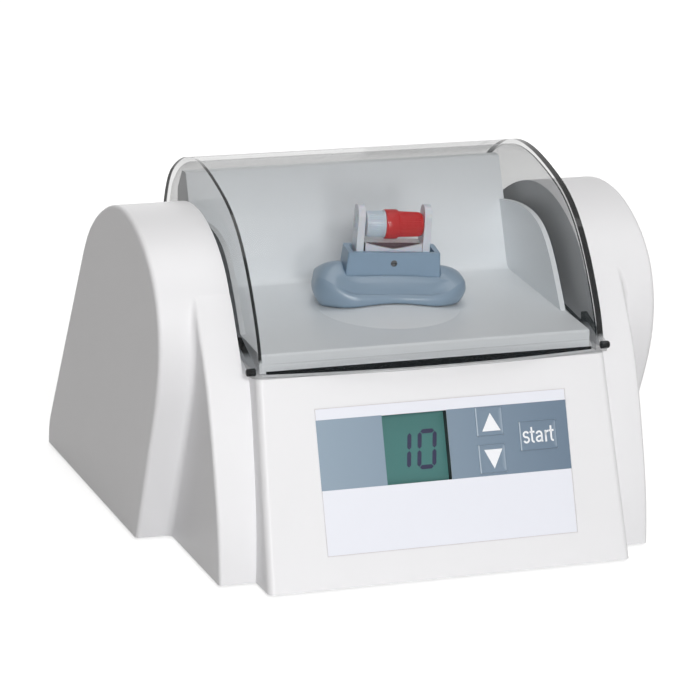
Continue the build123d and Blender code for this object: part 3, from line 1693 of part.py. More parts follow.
def switch_rocker():
    """Rocker of the power switch, pressed in at the bottom."""
    face = recess_face_y + rear_plate_thickness + bezel_flange
    half_z = rocker_half_height - 0.4
    profile = closed(
        (-7.0, -4.5),
        (-0.8, -half_z),
        (2.6, -half_z),
        (1.0, 0.0),
        (2.6, half_z),
        (-0.8, half_z),
        (-7.0, 4.5),
    )
    rocker = side_prism(profile, -rocker_half_width, rocker_half_width)
    pivot = rod_x(1.5, -rocker_half_width - rocker_gap + 0.05, rocker_half_width, 0, 0)
    rocker = rocker + Pos(0, -3.0, 0) * pivot
    return Pos(switch_x, face, switch_z) * Pos(0, -3.0, 0) * Rot(rocker_tilt, 0, 0) * Pos(
        0, 3.0, 0
    ) * rocker


def power_board():
    """Motor driver board on the base plate's posts."""
    return block(
        power_board_low_x,
        power_board_high_x,
        power_board_low_y,
        power_board_high_y,
        power_board_z,
        power_board_z + board_thickness,
    )


def power_parts():
    """Capacitor, relay, heat sink and connector on the driver board."""
    top = power_board_z + board_thickness
    capacitor = rod_z(8.0, top, top + 26.0, power_board_high_x - 12.0, power_board_low_y + 16.0)
    relay = block(50.0, 64.0, 30.0, 46.0, top, top + 14.0)
    sink = block(70.0, 88.0, 22.0, 34.0, top, top + 3.0)
    for index in range(5):
        x = 70.0 + index * 4.0
        sink = sink + block(x, x + 1.6, 22.0, 34.0, top + 2.0, top + 18.0)
    low_x, high_x = ribbon_middle_x - ribbon_width / 2, ribbon_middle_x + ribbon_width / 2
    middle_y = power_board_low_y + 6.0
    socket = block(low_x - 2.0, high_x + 2.0, middle_y - 3.0, middle_y + 3.0, top, top + 8.0)
    slit = block(low_x - 0.2, high_x + 0.2, middle_y - 0.7, middle_y + 0.7, top + 3.0, top + 9.0)
    return capacitor + relay + sink + (socket - slit)


def transformer():
    """Mains transformer: laminated core and winding on a bracket."""
    low, high = plate_top_z, plate_top_z + core_height
    core = block(core_low_x, core_high_x, core_low_y, core_high_y, low + 2.0, high)
    for x_from, x_to in ((-83.0, -76.0), (-64.0, -57.0)):
        core = core - block(x_from, x_to, core_low_y - 1, core_high_y + 1, low + 9.0, high - 8.0)
    bracket = block(core_low_x + 2, core_high_x - 2, core_low_y - 8, core_high_y + 8, low, low + 2.0)
    return core + bracket


def transformer_winding():
    """Taped winding round the transformer's middle limb."""
    low, high = plate_top_z + 9.5, plate_top_z + core_height - 8.5
    outer = block(-82.5, -57.5, core_low_y - 7.0, core_high_y + 7.0, low, high)
    outer = fillet(outer.edges().filter_by(Axis.Z), 4.0)
    limb = block(-76.4, -63.6, core_low_y - 0.4, core_high_y + 0.4, low - 1, high + 1)
    return outer - limb


def ribbon_cable():
    """Flat cable from the control board down to the driver board."""
    back = -board_face_depth - board_thickness
    start = panel_point(ribbon_socket_v, back - 2.4)
    out = panel_point(ribbon_socket_v, back - 22.0)
    top = power_board_z + board_thickness
    end_y = power_board_low_y + 6.0
    path = Plane.YZ.offset(ribbon_middle_x) * FilletPolyline(
        start, out, (end_y, out[1] + 3.0), (end_y, top + 3.4), radius=5.0
    )
    section = Plane(path @ 0, x_dir=(1, 0, 0), z_dir=path % 0) * Rectangle(
        ribbon_width, ribbon_thickness
    )
    return sweep(section, path)


def main():
    """Builds every piece and writes it."""
    write("casing", casing_rear_holes(casing()))
    write("base_plate", base_plate())
    write("rubber_feet", rubber_feet())
    write("base_screws", base_screws())
    write("front_label", front_label())
    write("display_bezel", display_bezel())
    write("display_lens", display_lens())
    write("display_module", display_module())
    for node, rectangle in keys.items():
        write(node, key(rectangle))
    write("control_board", control_board())
    write("board_screws", board_screws())
    write("key_switches", key_switches())
    write("board_parts", board_parts())
    write("chamber_tub", chamber_tub())
    write("tub_screws", tub_screws())
    write("hood_shell", hood_shell())
    write("hood_seal", hood_seal())
    write("hood_buffers", hood_buffers())
    write("hinge_pins", hinge_pins())
    write("hood_magnet", hood_magnet())
    write("hood_sensor", hood_sensor())
    write("chassis", chassis())
    write("chassis_dampers", chassis_dampers())
    write("pivot_pin", pivot_pin())
    write("swing_arm", swing_arm())
    write("crank", crank())
    write("crank_bearing", crank_bearing())
    write("motor_shaft", motor_shaft())
    write("shaft_bearings", ball_bearing(cheek_back_y + 0.5) + ball_bearing(rear_bearing_y))
    write("motor_can", motor_can())
    write("motor_end_caps", motor_front_cap() + motor_rear_cap())
    write("motor_magnets", motor_magnets())
    write("rotor_core", rotor_core())
    write("commutator", commutator())
    brush, holder = motor_brushes()
    motor_place = drive * Pos(0, 0, -crank_drop)
    write("motor_brushes", motor_place * mirrored(brush))
    write("brush_holders", motor_place * mirrored(holder))
    write("cooling_fan", cooling_fan())
    write("holder_block", holder_block())
    write("holder_screw", holder_screw())
    write("clip_bar", clip_bar())
    write("left_claw", claw(-1))
    write("right_claw", claw(1))
    write("capsule_barrel", capsule_barrel())
    write("capsule_cap", capsule_cap())
    write("arm_boot", arm_boot())
    write("rear_plate", rear_plate())
    write("rear_screws", rear_screws())
    write("mains_inlet", mains_inlet())
    write("inlet_contacts", inlet_contacts())
    write("fuse_drawer", fuse_drawer())
    write("fuses", fuses())
    write("switch_bezel", switch_bezel())
    write("switch_rocker", switch_rocker())
    write("power_board", power_board())
    write("power_parts", power_parts())
    write("transformer_core", transformer())
    write("transformer_winding", transformer_winding())
    write("ribbon_cable", ribbon_cable())


if __name__ == "__main__":
    main()
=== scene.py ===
"""Dresses the bench amalgamator: finishes, printed panel, figures, boot, capsule and studio."""

from __future__ import annotations

import json
import logging
import math
from dataclasses import dataclass, field
from enum import Enum
from functools import cache
from typing import Callable, Sequence

import bmesh
import bpy
from mathutils import Matrix, Vector

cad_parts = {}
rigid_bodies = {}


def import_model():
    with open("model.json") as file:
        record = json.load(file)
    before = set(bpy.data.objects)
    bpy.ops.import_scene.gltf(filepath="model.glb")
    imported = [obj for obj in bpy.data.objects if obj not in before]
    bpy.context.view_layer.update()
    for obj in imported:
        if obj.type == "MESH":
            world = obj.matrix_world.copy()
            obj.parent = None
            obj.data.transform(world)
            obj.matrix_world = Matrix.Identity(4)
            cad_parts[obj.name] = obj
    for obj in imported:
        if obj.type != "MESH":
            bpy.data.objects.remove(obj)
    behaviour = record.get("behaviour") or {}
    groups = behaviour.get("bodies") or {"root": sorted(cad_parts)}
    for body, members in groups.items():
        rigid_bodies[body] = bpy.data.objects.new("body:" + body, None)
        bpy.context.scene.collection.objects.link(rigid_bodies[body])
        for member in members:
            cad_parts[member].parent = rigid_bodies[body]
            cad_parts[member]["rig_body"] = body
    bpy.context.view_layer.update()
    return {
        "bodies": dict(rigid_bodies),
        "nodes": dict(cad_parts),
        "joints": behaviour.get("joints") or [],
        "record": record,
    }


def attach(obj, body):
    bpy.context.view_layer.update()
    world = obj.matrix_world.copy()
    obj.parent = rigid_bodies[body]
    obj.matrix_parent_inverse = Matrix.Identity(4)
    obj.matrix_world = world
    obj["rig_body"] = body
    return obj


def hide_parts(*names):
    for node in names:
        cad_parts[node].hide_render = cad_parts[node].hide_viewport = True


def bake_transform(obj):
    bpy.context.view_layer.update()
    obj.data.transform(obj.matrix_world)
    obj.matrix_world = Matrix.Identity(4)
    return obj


log = logging.getLogger("amalgamator")
logging.basicConfig(level=logging.INFO, format="%(name)s: %(message)s")

MM = 0.001
FOOT = 1.5

Material = bpy.types.Material
Mesh = bpy.types.Mesh
Node = bpy.types.Node
Piece = bpy.types.Object
Socket = bpy.types.NodeSocket
Sockets = bpy.types.bpy_prop_collection
Tree = bpy.types.NodeTree
Spot = tuple[float, float]
Point = tuple[float, float, float]
Rectangle = tuple[float, float, float, float]


# ------------------------------------------------------------------ frames of the parts
def turn(axis: str, degrees: float) -> Matrix:
    """Four by four rotation about one axis."""
    return Matrix.Rotation(math.radians(degrees), 4, axis)


def shift(x: float, y: float, z: float) -> Matrix:
    """Four by four move, in millimetres."""
    return Matrix.Translation((x, y, z))


@dataclass(frozen=True)
class Frames:
    """Where the leaning panel, the arm and the capsule holder stand, in millimetres."""

    panel_lean: float = 17.8
    panel_foot: Point = (0.0, -130.0, FOOT)
    pivot: Point = (0.0, -35.7, 68.3 + FOOT)
    drive_lean: float = 5.0
    rest_swing: float = 2.0
    head_turn: float = 8.0
    holder_shift: float = 2.0

    def panel(self) -> Matrix:
        """Across, up the panel, out of its face."""
        lean = math.radians(self.panel_lean)
        up = Vector((0, math.sin(lean), math.cos(lean)))
        out = Vector((0, -math.cos(lean), math.sin(lean)))
        turned = Matrix((Vector((1, 0, 0)), up, out)).transposed().to_4x4()
        return Matrix.Translation(self.panel_foot) @ turned

    def holder(self) -> Matrix:
        """The capsule holder, with the rocking arm at rest."""
        lean = turn("X", self.drive_lean) @ turn("Y", self.rest_swing)
        arm = Matrix.Translation(self.pivot) @ lean
        return arm @ turn("Z", -self.head_turn) @ shift(0, self.holder_shift, 0)


FRAMES = Frames()


# ------------------------------------------------------------------ node trees
class Graph:
    """Short ways to add nodes to a tree and to join them."""

    def __init__(self, tree: Tree) -> None:
        self.tree = tree

    @classmethod
    def group(
        cls, name: str, family: str, inputs: dict[str, str], outputs: dict[str, str]
    ) -> tuple[Graph, Sockets, Node]:
        """Starts a node group.

        Args:
            name: the group's name.
            family: Shader or Geometry.
            inputs: the socket type of each input.
            outputs: the socket type of each output.

        Returns:
            The group's graph, what it is given, and its output node.
        """
        tree = bpy.data.node_groups.new(name, f"{family}NodeTree")
        for way, sockets in (("INPUT", inputs), ("OUTPUT", outputs)):
            for label, kind in sockets.items():
                kind = f"NodeSocket{kind}"
                tree.interface.new_socket(name=label, in_out=way, socket_type=kind)
        graph = cls(tree)
        return graph, graph.add("NodeGroupInput").outputs, graph.add("NodeGroupOutput")

    def add(self, kind: str, inputs: dict | None = None, **settings: object) -> Node:
        """Adds one node.

        Args:
            kind: the node's type.
            inputs: a value or another node's output for each input.
            settings: the node's own settings.

        Returns:
            The node.
        """
        node = self.tree.nodes.new(kind)
        for name, value in settings.items():
            setattr(node, name, value)
        self.feed(node, inputs or {})
        return node

    def feed(self, node: Node, inputs: dict) -> None:
        """Sets or joins a node's inputs."""
        for key, value in inputs.items():
            if isinstance(value, Socket):
                self.tree.links.new(value, node.inputs[key])
            else:
                node.inputs[key].default_value = value

    def calc(self, operation: str, *values: object, **settings: object) -> Socket:
        """Adds a math node on numbers or outputs."""
        numbered = dict(enumerate(values))
        return self.add("ShaderNodeMath", numbered, operation=operation, **settings).outputs[0]

    def ramp(
        self,
        value: Socket,
        start: object = 0.0,
        end: object = 1.0,
        low: float = 0.0,
        high: float = 1.0,
        **settings: object,
    ) -> Socket:
        """Adds a ramp.

        Args:
            value: what it goes by.
            start: the value at which it leaves low.
            end: the value at which it reaches high.
            low: what it gives first.
            high: what it gives last.
            settings: the node's own settings.

        Returns:
            The ramp's output.
        """
        labels = ("Value", "From Min", "From Max", "To Min", "To Max")
        inputs = dict(zip(labels, (value, start, end, low, high)))
        return self.add("ShaderNodeMapRange", inputs, **settings).outputs[0]

    def blend(self, share: object, first: object, second: object) -> Socket:
        """Mixes two colours."""
        inputs = {0: share, 6: first, 7: second}
        return self.add("ShaderNodeMix", inputs, data_type="RGBA").outputs[2]

    def axes(self, vector: Socket) -> Sockets:
        """Splits a vector into X, Y and Z."""
        return self.add("ShaderNodeSeparateXYZ", {0: vector}).outputs

    def place(self) -> Socket:
        """The shaded point in its object's own frame."""
        return self.add("ShaderNodeTexCoord").outputs["Object"]

    def seen(self) -> Socket:
        """One on camera rays, through clear surfaces and in reflections, else nought."""
        rays = self.add("ShaderNodeLightPath").outputs
        direct = self.calc("MAXIMUM", rays["Is Camera Ray"], rays["Is Transmission Ray"])
        return self.calc("MAXIMUM", direct, rays["Is Glossy Ray"])

    def grain(self, *values: object) -> Sockets:
        """Adds the surface grain group, its inputs in the group's order."""
        inputs = dict(enumerate(values))
        return self.add("ShaderNodeGroup", inputs, node_tree=surface_grain()).outputs

    def copies(self, points: Socket, instance: Socket) -> Socket:
        """Stands a real copy of some geometry on each point."""
        inputs = {"Points": points, "Instance": instance}
        stood = self.add("GeometryNodeInstanceOnPoints", inputs).outputs[0]
        return self.add("GeometryNodeRealizeInstances", {0: stood}).outputs[0]

    def finish(self, geometry: Socket, material: Socket, out: Node) -> Tree:
        """Gives the geometry its material and ends the group with it."""
        inputs = {"Geometry": geometry, "Material": material}
        self.feed(out, {0: self.add("GeometryNodeSetMaterial", inputs).outputs[0]})
        return self.tree


@cache
def surface_grain() -> Tree:
    """Group that gives a surface its cloudy colour, uneven gloss and fine relief, built once."""
    graph, given, out = Graph.group(
        "surface_grain",
        "Shader",
        {
            "Colour": "Color",
            "Colour Spread": "Float",
            "Cloud Scale": "Float",
            "Grain Scale": "Float",
            "Grain Run": "Vector",
            "Roughness": "Float",
            "Roughness Spread": "Float",
        },
        {"Colour": "Color", "Roughness": "Float", "Height": "Float"},
    )
    place = graph.place()
    run = graph.add("ShaderNodeVectorMath", {0: place, 1: given["Grain Run"]}, operation="MULTIPLY")
    noise = "ShaderNodeTexNoise"
    cloud = {"Vector": place, "Scale": given["Cloud Scale"], "Detail": 3.0}
    grain = {"Vector": run.outputs[0], "Scale": given["Grain Scale"], "Detail": 2.0}
    cloudy, grainy = (graph.add(noise, inputs).outputs["Fac"] for inputs in (cloud, grain))
    centred = graph.calc("MULTIPLY_ADD", cloudy, 2.0, -1.0)
    gain = graph.calc("ADD", graph.calc("MULTIPLY", centred, given["Colour Spread"]), 1.0)
    tone = graph.add("ShaderNodeVectorMath", {0: given["Colour"]}, operation="SCALE")
    graph.feed(tone, {"Scale": gain})
    uneven = graph.calc("MULTIPLY_ADD", grainy, 2.0, -1.0)
    spread = (uneven, given["Roughness Spread"], given["Roughness"])
    gloss = graph.calc("MULTIPLY_ADD", *spread, use_clamp=True)
    graph.feed(out, {"Colour": tone.outputs[0], "Roughness": gloss, "Height": grainy})
    return graph.tree


@cache
def band_mask() -> Tree:
    """Group that gives one past a distance to either side of the middle, built once."""
    graph, given, out = Graph.group(
        "band_mask", "Shader", {"Start": "Float", "End": "Float"}, {"Mask": "Float"}
    )
    away = graph.calc("ABSOLUTE", graph.axes(graph.place())["X"])
    soft = {"interpolation_type": "SMOOTHSTEP"}
    graph.feed(out, {"Mask": graph.ramp(away, given["Start"], given["End"], **soft)})
    return graph.tree


@cache
def rib_ring_tree() -> Tree:
    """Tree that lays straight ribs round a turned shape on X and tapers it, built once."""
    sizes = ("Ring Radius", "Rib Radius", "Rib Length", "Rib Middle", "Taper", "Taper Start")
    graph, given, out = Graph.group(
        "rib_ring",
        "Geometry",
        {"Geometry": "Geometry", "Ribs": "Int", "Finish": "Material"}
        | dict.fromkeys(sizes, "Float"),
        {"Geometry": "Geometry"},
    )
    lain = (0.0, math.radians(90), 0.0)
    circle_of = {"Vertices": given["Ribs"], "Radius": given["Ring Radius"]}
    ring = graph.add("GeometryNodeMeshCircle", circle_of).outputs["Mesh"]
    middle = graph.add("ShaderNodeCombineXYZ", {"X": given["Rib Middle"]}).outputs[0]
    upright = {"Geometry": ring, "Translation": middle, "Rotation": lain}
    points = graph.add("GeometryNodeTransform", upright).outputs[0]
    rod = {"Vertices": 10, "Radius": given["Rib Radius"], "Depth": given["Rib Length"]}
    rib = {"Geometry": graph.add("GeometryNodeMeshCylinder", rod).outputs["Mesh"], "Rotation": lain}
    ribs = graph.copies(points, graph.add("GeometryNodeTransform", rib).outputs[0])
    joined = graph.add("GeometryNodeJoinGeometry", {0: ribs})
    graph.feed(joined, {0: given["Geometry"]})
    spot = graph.axes(graph.add("GeometryNodeInputPosition").outputs[0])
    past = graph.calc("MAXIMUM", graph.calc("SUBTRACT", spot["X"], given["Taper Start"]), 0.0)
    shrink = graph.calc("SUBTRACT", 1.0, graph.calc("MULTIPLY", past, given["Taper"]))
    drawn = {axis: graph.calc("MULTIPLY", spot[axis], shrink) for axis in ("Y", "Z")}
    moved = graph.add("ShaderNodeCombineXYZ", {"X": spot["X"]} | drawn).outputs[0]
    tapered = {"Geometry": joined.outputs[0], "Position": moved}
    placed = graph.add("GeometryNodeSetPosition", tapered).outputs[0]
    return graph.finish(placed, given["Finish"], out)


@cache
def screw_set_tree() -> Tree:
    """Tree that stands one screw on each point of a mesh, built once."""
    graph, given, out = Graph.group(
        "screw_set",
        "Geometry",
        {"Geometry": "Geometry", "Screw": "Object", "Finish": "Material"},
        {"Geometry": "Geometry"},
    )
    own = {"transform_space": "ORIGINAL"}
    screw = graph.add("GeometryNodeObjectInfo", {"Object": given["Screw"]}, **own)
    stood = graph.copies(given["Geometry"], screw.outputs["Geometry"])
    return graph.finish(stood, given["Finish"], out)


# ------------------------------------------------------------------ finishes
class Grain(Enum):
    """How a surface's fine grain runs."""

    MOULDED = (1.0, 1.0, 1.0)
    BRUSHED = (0.06, 1.0, 1.0)
    TURNED = (1.0, 0.08, 1.0)


def linear(colour: Point) -> tuple[float, float, float, float]:
    """Screen colour from 0 to 255 as a linear colour.

    Args:
        colour: red, green and blue from 0 to 255.

    Returns:
        Linear red, green, blue and an alpha of one.
    """
    parts = []
    for value in colour:
        part = value / 255.0
        parts.append(part / 12.92 if part <= 0.04045 else ((part + 0.055) / 1.055) ** 2.4)
    return (parts[0], parts[1], parts[2], 1.0)


def new_material(title: str) -> tuple[Material, Graph, Node]:
    """Starts a material: itself, its graph and its shader."""
    material = bpy.data.materials.new(title)
    material.use_nodes = True
    return material, Graph(material.node_tree), material.node_tree.nodes["Principled BSDF"]


@dataclass(frozen=True)
class Look:
    """What opaque and clear finishes share."""

    name: str
    colour: Point
    slot: str

    def material(self) -> Material:
        """The finish as a material."""
        raise NotImplementedError


@dataclass(frozen=True)
class Finish(Look):
    """One opaque finish: a colour with its clouding, grain and gloss."""

    roughness: float
    grain_mm: float
    relief: float
    spread: float
    metallic: float = 0.0
    grain: Grain = Grain.MOULDED
    coat: float = 0.0
    subsurface: float = 0.0
    specular: float = 0.5
    far_colour: Point | None = None
    fade: Spot = (-1.0, 1.0)

    @cache
    def material(self) -> Material:
        """The finish as a material, made once."""
        material, graph, shader = new_material(f"finish_{self.name}")
        colour: object = linear(self.colour)
        if self.far_colour:
            across = graph.ramp(graph.axes(graph.place())["X"], *self.fade)
            colour = graph.blend(across, colour, linear(self.far_colour))
        cloud_scale, gloss_spread, relief_depth = 40.0, 0.06, 0.00005
        coat_roughness, subsurface_depth = 0.15, 0.002
        grain_scale = 1.0 / (self.grain_mm * MM)
        grain = graph.grain(
            colour,
            self.spread,
            cloud_scale,
            grain_scale,
            self.grain.value,
            self.roughness,
            gloss_spread,
        )
        relief = {"Strength": self.relief, "Distance": relief_depth, "Height": grain["Height"]}
        inputs = {
            "Base Color": grain["Colour"],
            "Roughness": grain["Roughness"],
            "Normal": graph.add("ShaderNodeBump", relief).outputs["Normal"],
            "Metallic": self.metallic,
            "Coat Weight": self.coat,
            "Coat Roughness": coat_roughness,
            "Specular IOR Level": self.specular,
        }
        if self.subsurface:
            inputs |= {"Subsurface Weight": self.subsurface, "Subsurface Scale": subsurface_depth}
        graph.feed(shader, inputs)
        return material


@dataclass(frozen=True)
class ClearFinish(Look):
    """A see-through moulding: faint over its faces and denser at a glance, with painted shade, near
    black, along its edges where the walls are seen edge on.

    Its edges lie past edge_from to either side and above edge_low; on the left they begin at
    thin_edge instead. All are in metres from the object's middle or over the bench.
    """

    edge_shade_colour: Point
    density: float
    glancing: float
    edge_shade_density: float
    edge_from: float
    edge_to: float
    edge_low: float = -1.0
    thin_edge: float = 0.0
    shade: float = 1.0
    specular: float = 0.5

    @cache
    def material(self) -> Material:
        """The finish as a material, made once."""
        material, graph, shader = new_material(f"finish_{self.name}")
        spread, cloud_scale, grain_scale, roughness, gloss_spread = 0.02, 12.0, 1500.0, 0.05, 0.02
        glance_power = 4.0
        grain = graph.grain(
            linear(self.colour),
            spread,
            cloud_scale,
            grain_scale,
            Grain.MOULDED.value,
            roughness,
            gloss_spread,
        )
        # Painted shade: on the edges the colour turns near black and the moulding grows nearly
        # solid, standing in for the walls' dark look seen edge on.
        edge = self.edge(graph)
        facing = graph.add("ShaderNodeLayerWeight", {"Blend": 0.5}).outputs["Facing"]
        steep = graph.calc("POWER", facing, glance_power)
        faint = graph.calc("MULTIPLY_ADD", steep, self.glancing, self.density)
        densities = {0: edge, 2: faint, 3: self.edge_shade_density}
        solid = graph.add("ShaderNodeMix", densities, data_type="FLOAT").outputs[0]
        shadow = graph.add("ShaderNodeLightPath").outputs["Is Shadow Ray"]
        shaded = graph.ramp(shadow, low=1.0, high=self.shade)
        inputs = {
            "Base Color": graph.blend(edge, grain["Colour"], linear(self.edge_shade_colour)),
            "Roughness": grain["Roughness"],
            "Alpha": graph.calc("MULTIPLY", solid, shaded),
            "Specular IOR Level": self.specular,
        }
        graph.feed(shader, inputs)
        return material

    def edge(self, graph: Graph) -> Socket:
        """One on the moulding's edges, where shade is painted, and nought on its faces."""
        aside, ahead, soft_side, soft_low = 0.55, 0.35, 0.0003, 0.002
        limits = {"Start": self.edge_from, "End": self.edge_to}
        mask = graph.add("ShaderNodeGroup", limits, node_tree=band_mask()).outputs["Mask"]
        normal = graph.axes(graph.add("ShaderNodeNewGeometry").outputs["Normal"])
        rim = graph.ramp(graph.calc("ABSOLUTE", normal["X"]), ahead, aside, 1.0, 0.0)
        spot = graph.axes(graph.place())
        thin = graph.ramp(spot["X"], -self.thin_edge - soft_side, -self.thin_edge, 1.0, 0.0)
        side = graph.calc("MAXIMUM", thin, graph.calc("GREATER_THAN", spot["X"], 0.0))
        height = graph.ramp(spot["Z"], self.edge_low, self.edge_low + soft_low)
        whole = graph.calc("MULTIPLY", mask, graph.calc("MULTIPLY", rim, height))
        return graph.calc("MULTIPLY", whole, side)


# Each has its name, colour, slot, roughness, grain in mm, relief, colour spread and, where it
# is a metal, how metallic it is and how its grain runs.
WHITE = Finish("white_casing", (238, 238, 240), "white_plastic", 0.42, 0.35, 0.1, 0.012)
TUB_WHITE = Finish("chamber_white", (233, 237, 240), "white_plastic", 0.38, 0.4, 0.08, 0.012)
BASE_GREY = Finish("base_grey", (120, 122, 124), "base_grey", 0.6, 0.8, 0.3, 0.05)
FOOT_RUBBER = Finish("foot_rubber", (38, 38, 39), "black_rubber", 0.75, 0.6, 0.35, 0.08)
# Near black with almost no gloss: the seal strip under the hood's lip, darkened further as painted
# shade for the gap it sits in.
SEAL_RUBBER = Finish("seal_rubber", (2, 1, 1), "black_rubber", 0.6, 0.5, 0.2, 0.08, specular=0.03)
BOOT_RUBBER = Finish(
    "boot_rubber", (140, 162, 182), "boot_rubber", 0.34, 0.4, 0.08, 0.035, coat=0.3
)
HOLDER_GREY = Finish("holder_grey", (140, 166, 190), "holder_grey", 0.38, 0.4, 0.1, 0.03)
BUFFER_RUBBER = Finish(
    "buffer_rubber", (6, 6, 7), "black_rubber", 0.35, 0.5, 0.2, 0.08, specular=0.2
)
STEEL = Finish("turned_steel", (176, 178, 182), "steel", 0.3, 0.25, 0.2, 0.05, 1.0, Grain.TURNED)
DARK_SCREW = Finish("dark_screw", (92, 92, 94), "steel", 0.4, 0.2, 0.3, 0.08, 1.0, Grain.TURNED)
LABEL = Finish("label_film", (238, 240, 248), "label_print", 0.34, 0.25, 0.05, 0.008)
FILM = Finish(
    "key_film",
    (144, 162, 178),
    "key_pad",
    0.36,
    0.25,
    0.05,
    0.015,
    far_colour=(107, 126, 145),
    fade=(-0.055, 0.058),
)
# Painted highlight: a lighter film for the keys' left rims, where light catches them.
KEY_EDGE_HIGHLIGHT = Finish("key_edge_highlight", (178, 192, 205), "key_pad", 0.3, 0.25, 0.05, 0.02)
WHITE_PRINT = Finish("white_print", (246, 248, 252), "label_print", 0.4, 0.25, 0.04, 0.01)
FRAME_LINE = Finish("label_line", (212, 206, 208), "label_print", 0.4, 0.25, 0.04, 0.02)
CELL = Finish("display_cell", (64, 120, 117), "display_cell", 0.32, 0.15, 0.05, 0.03)
FIGURE = Finish("display_figure", (12, 14, 60), "display_cell", 0.45, 0.2, 0.05, 0.05)
BLACK = Finish("black_plastic", (30, 30, 32), "black_plastic", 0.45, 0.5, 0.2, 0.06)
ROCKER = Finish("rocker_black", (22, 22, 24), "black_plastic", 0.28, 0.6, 0.08, 0.05)
BOARD = Finish("circuit_board", (28, 84, 50), "board_green", 0.4, 1.2, 0.15, 0.12)
CHIPS = Finish("chip_black", (42, 42, 44), "component_black", 0.5, 0.5, 0.2, 0.1)
CAST = Finish("cast_alloy", (172, 174, 178), "cast_alloy", 0.45, 0.5, 0.4, 0.06, 1.0)
MOTOR = Finish(
    "motor_steel", (96, 98, 102), "motor_steel", 0.35, 0.3, 0.2, 0.06, 0.9, Grain.BRUSHED
)
FERRITE = Finish("ferrite", (52, 52, 55), "ferrite", 0.6, 0.4, 0.4, 0.1, 0.2)
COPPER = Finish("copper", (196, 122, 78), "copper", 0.3, 0.3, 0.2, 0.08, 1.0, Grain.TURNED)
CARBON = Finish("carbon", (36, 36, 38), "carbon", 0.7, 0.4, 0.4, 0.1)
FAN = Finish("fan_plastic", (44, 45, 48), "fan_plastic", 0.5, 0.5, 0.15, 0.06)
CLAW = Finish("claw_white", (226, 229, 237), "claw_white", 0.3, 0.3, 0.06, 0.03, subsurface=0.35)
BARREL = Finish(
    "barrel_milky", (214, 219, 228), "capsule_clear", 0.24, 0.3, 0.05, 0.05, subsurface=0.3
)
CAP_RED = Finish("cap_red", (204, 5, 8), "capsule_red", 0.1, 0.3, 0.02, 0.04, specular=0.25)
# Painted shade for the deep gap in the clip bar.
CLIP_SHADE = Finish("clip_shade", (92, 66, 74), "claw_white", 0.6, 0.4, 0.1, 0.06)
BRASS = Finish(
    "contact_brass", (204, 176, 112), "contact_brass", 0.28, 0.3, 0.15, 0.05, 1.0, Grain.BRUSHED
)
CORE = Finish(
    "laminated_core", (112, 112, 114), "core_iron", 0.5, 0.5, 0.5, 0.1, 0.8, Grain.BRUSHED
)
TAPE = Finish("winding_tape", (214, 186, 84), "winding_tape", 0.5, 0.8, 0.2, 0.06)
RIBBON = Finish(
    "ribbon_cable", (168, 170, 174), "ribbon_grey", 0.5, 1.2, 0.6, 0.08, 0.0, Grain.BRUSHED
)
# The hood's end walls get a band of painted shade along their edges.
HOOD = ClearFinish(
    "clear_hood",
    (58, 66, 69),
    "clear_hood",
    (6, 8, 9),
    density=0.13,
    glancing=0.5,
    edge_shade_density=0.97,
    edge_from=0.0774,
    edge_to=0.0778,
    edge_low=0.0965,
    thin_edge=0.0788,
    shade=0.2,
    specular=0.22,
)
LENS = ClearFinish(
    "clear_lens", (60, 80, 76), "clear_lens", (40, 50, 48), 0.02, 0.12, 0.6, 0.5, 0.6, specular=0.12
)
FUSE_GLASS = ClearFinish(
    "fuse_glass", (200, 210, 210), "fuse_glass", (180, 184, 188), 0.35, 0.5, 0.8, 0.5, 0.6
)


# ------------------------------------------------------------------ shapes
def circle(radius: float, steps: int) -> list[Spot]:
    """Points round a circle about the origin."""
    angles = [2 * math.pi * step / steps for step in range(steps)]
    return [(radius * math.cos(angle), radius * math.sin(angle)) for angle in angles]


def arc(middle: Spot, radius: float, begin: float, end: float, steps: int = 8) -> list[Spot]:
    """Points along an arc.

    Args:
        middle: the arc's centre.
        radius: its radius.
        begin: its first angle, in degrees.
        end: its last angle.
        steps: how many chords it has.

    Returns:
        The points.
    """
    angles = [math.radians(begin + (end - begin) * step / steps) for step in range(steps + 1)]
    return [(middle[0] + radius * math.cos(a), middle[1] + radius * math.sin(a)) for a in angles]


def box(left: float, right: float, low: float, high: float) -> list[Spot]:
    """Corners of a rectangle."""
    return [(left, low), (right, low), (right, high), (left, high)]


def level(outline: Sequence[Spot], up: float) -> list[Point]:
    """An outline's points at one height."""
    return [(x, y, up) for x, y in outline]


def share_of(value: float, start: float, end: float) -> float:
    """How far a value has come from start to end, held between nought and one."""
    return min(max((value - start) / (end - start), 0.0), 1.0)


def eased(share: float) -> float:
    """A share with soft ends."""
    return share * share * (3 - 2 * share)


def swell(share: float, middle: float, width: float) -> float:
    """A soft hump of height one."""
    return math.exp(-(((share - middle) / width) ** 2))


def stand(name: str, data: bpy.types.ID) -> Piece:
    """Puts a new object into the scene."""
    piece = bpy.data.objects.new(name, data)
    bpy.context.scene.collection.objects.link(piece)
    return piece


def new_mesh(
    name: str, points: Sequence[Sequence[float]], faces: Sequence[Sequence[int]]
) -> Mesh:
    """Makes a mesh from points in metres and faces."""
    mesh = bpy.data.meshes.new(name)
    mesh.from_pydata([tuple(point) for point in points], [], [list(face) for face in faces])
    return mesh


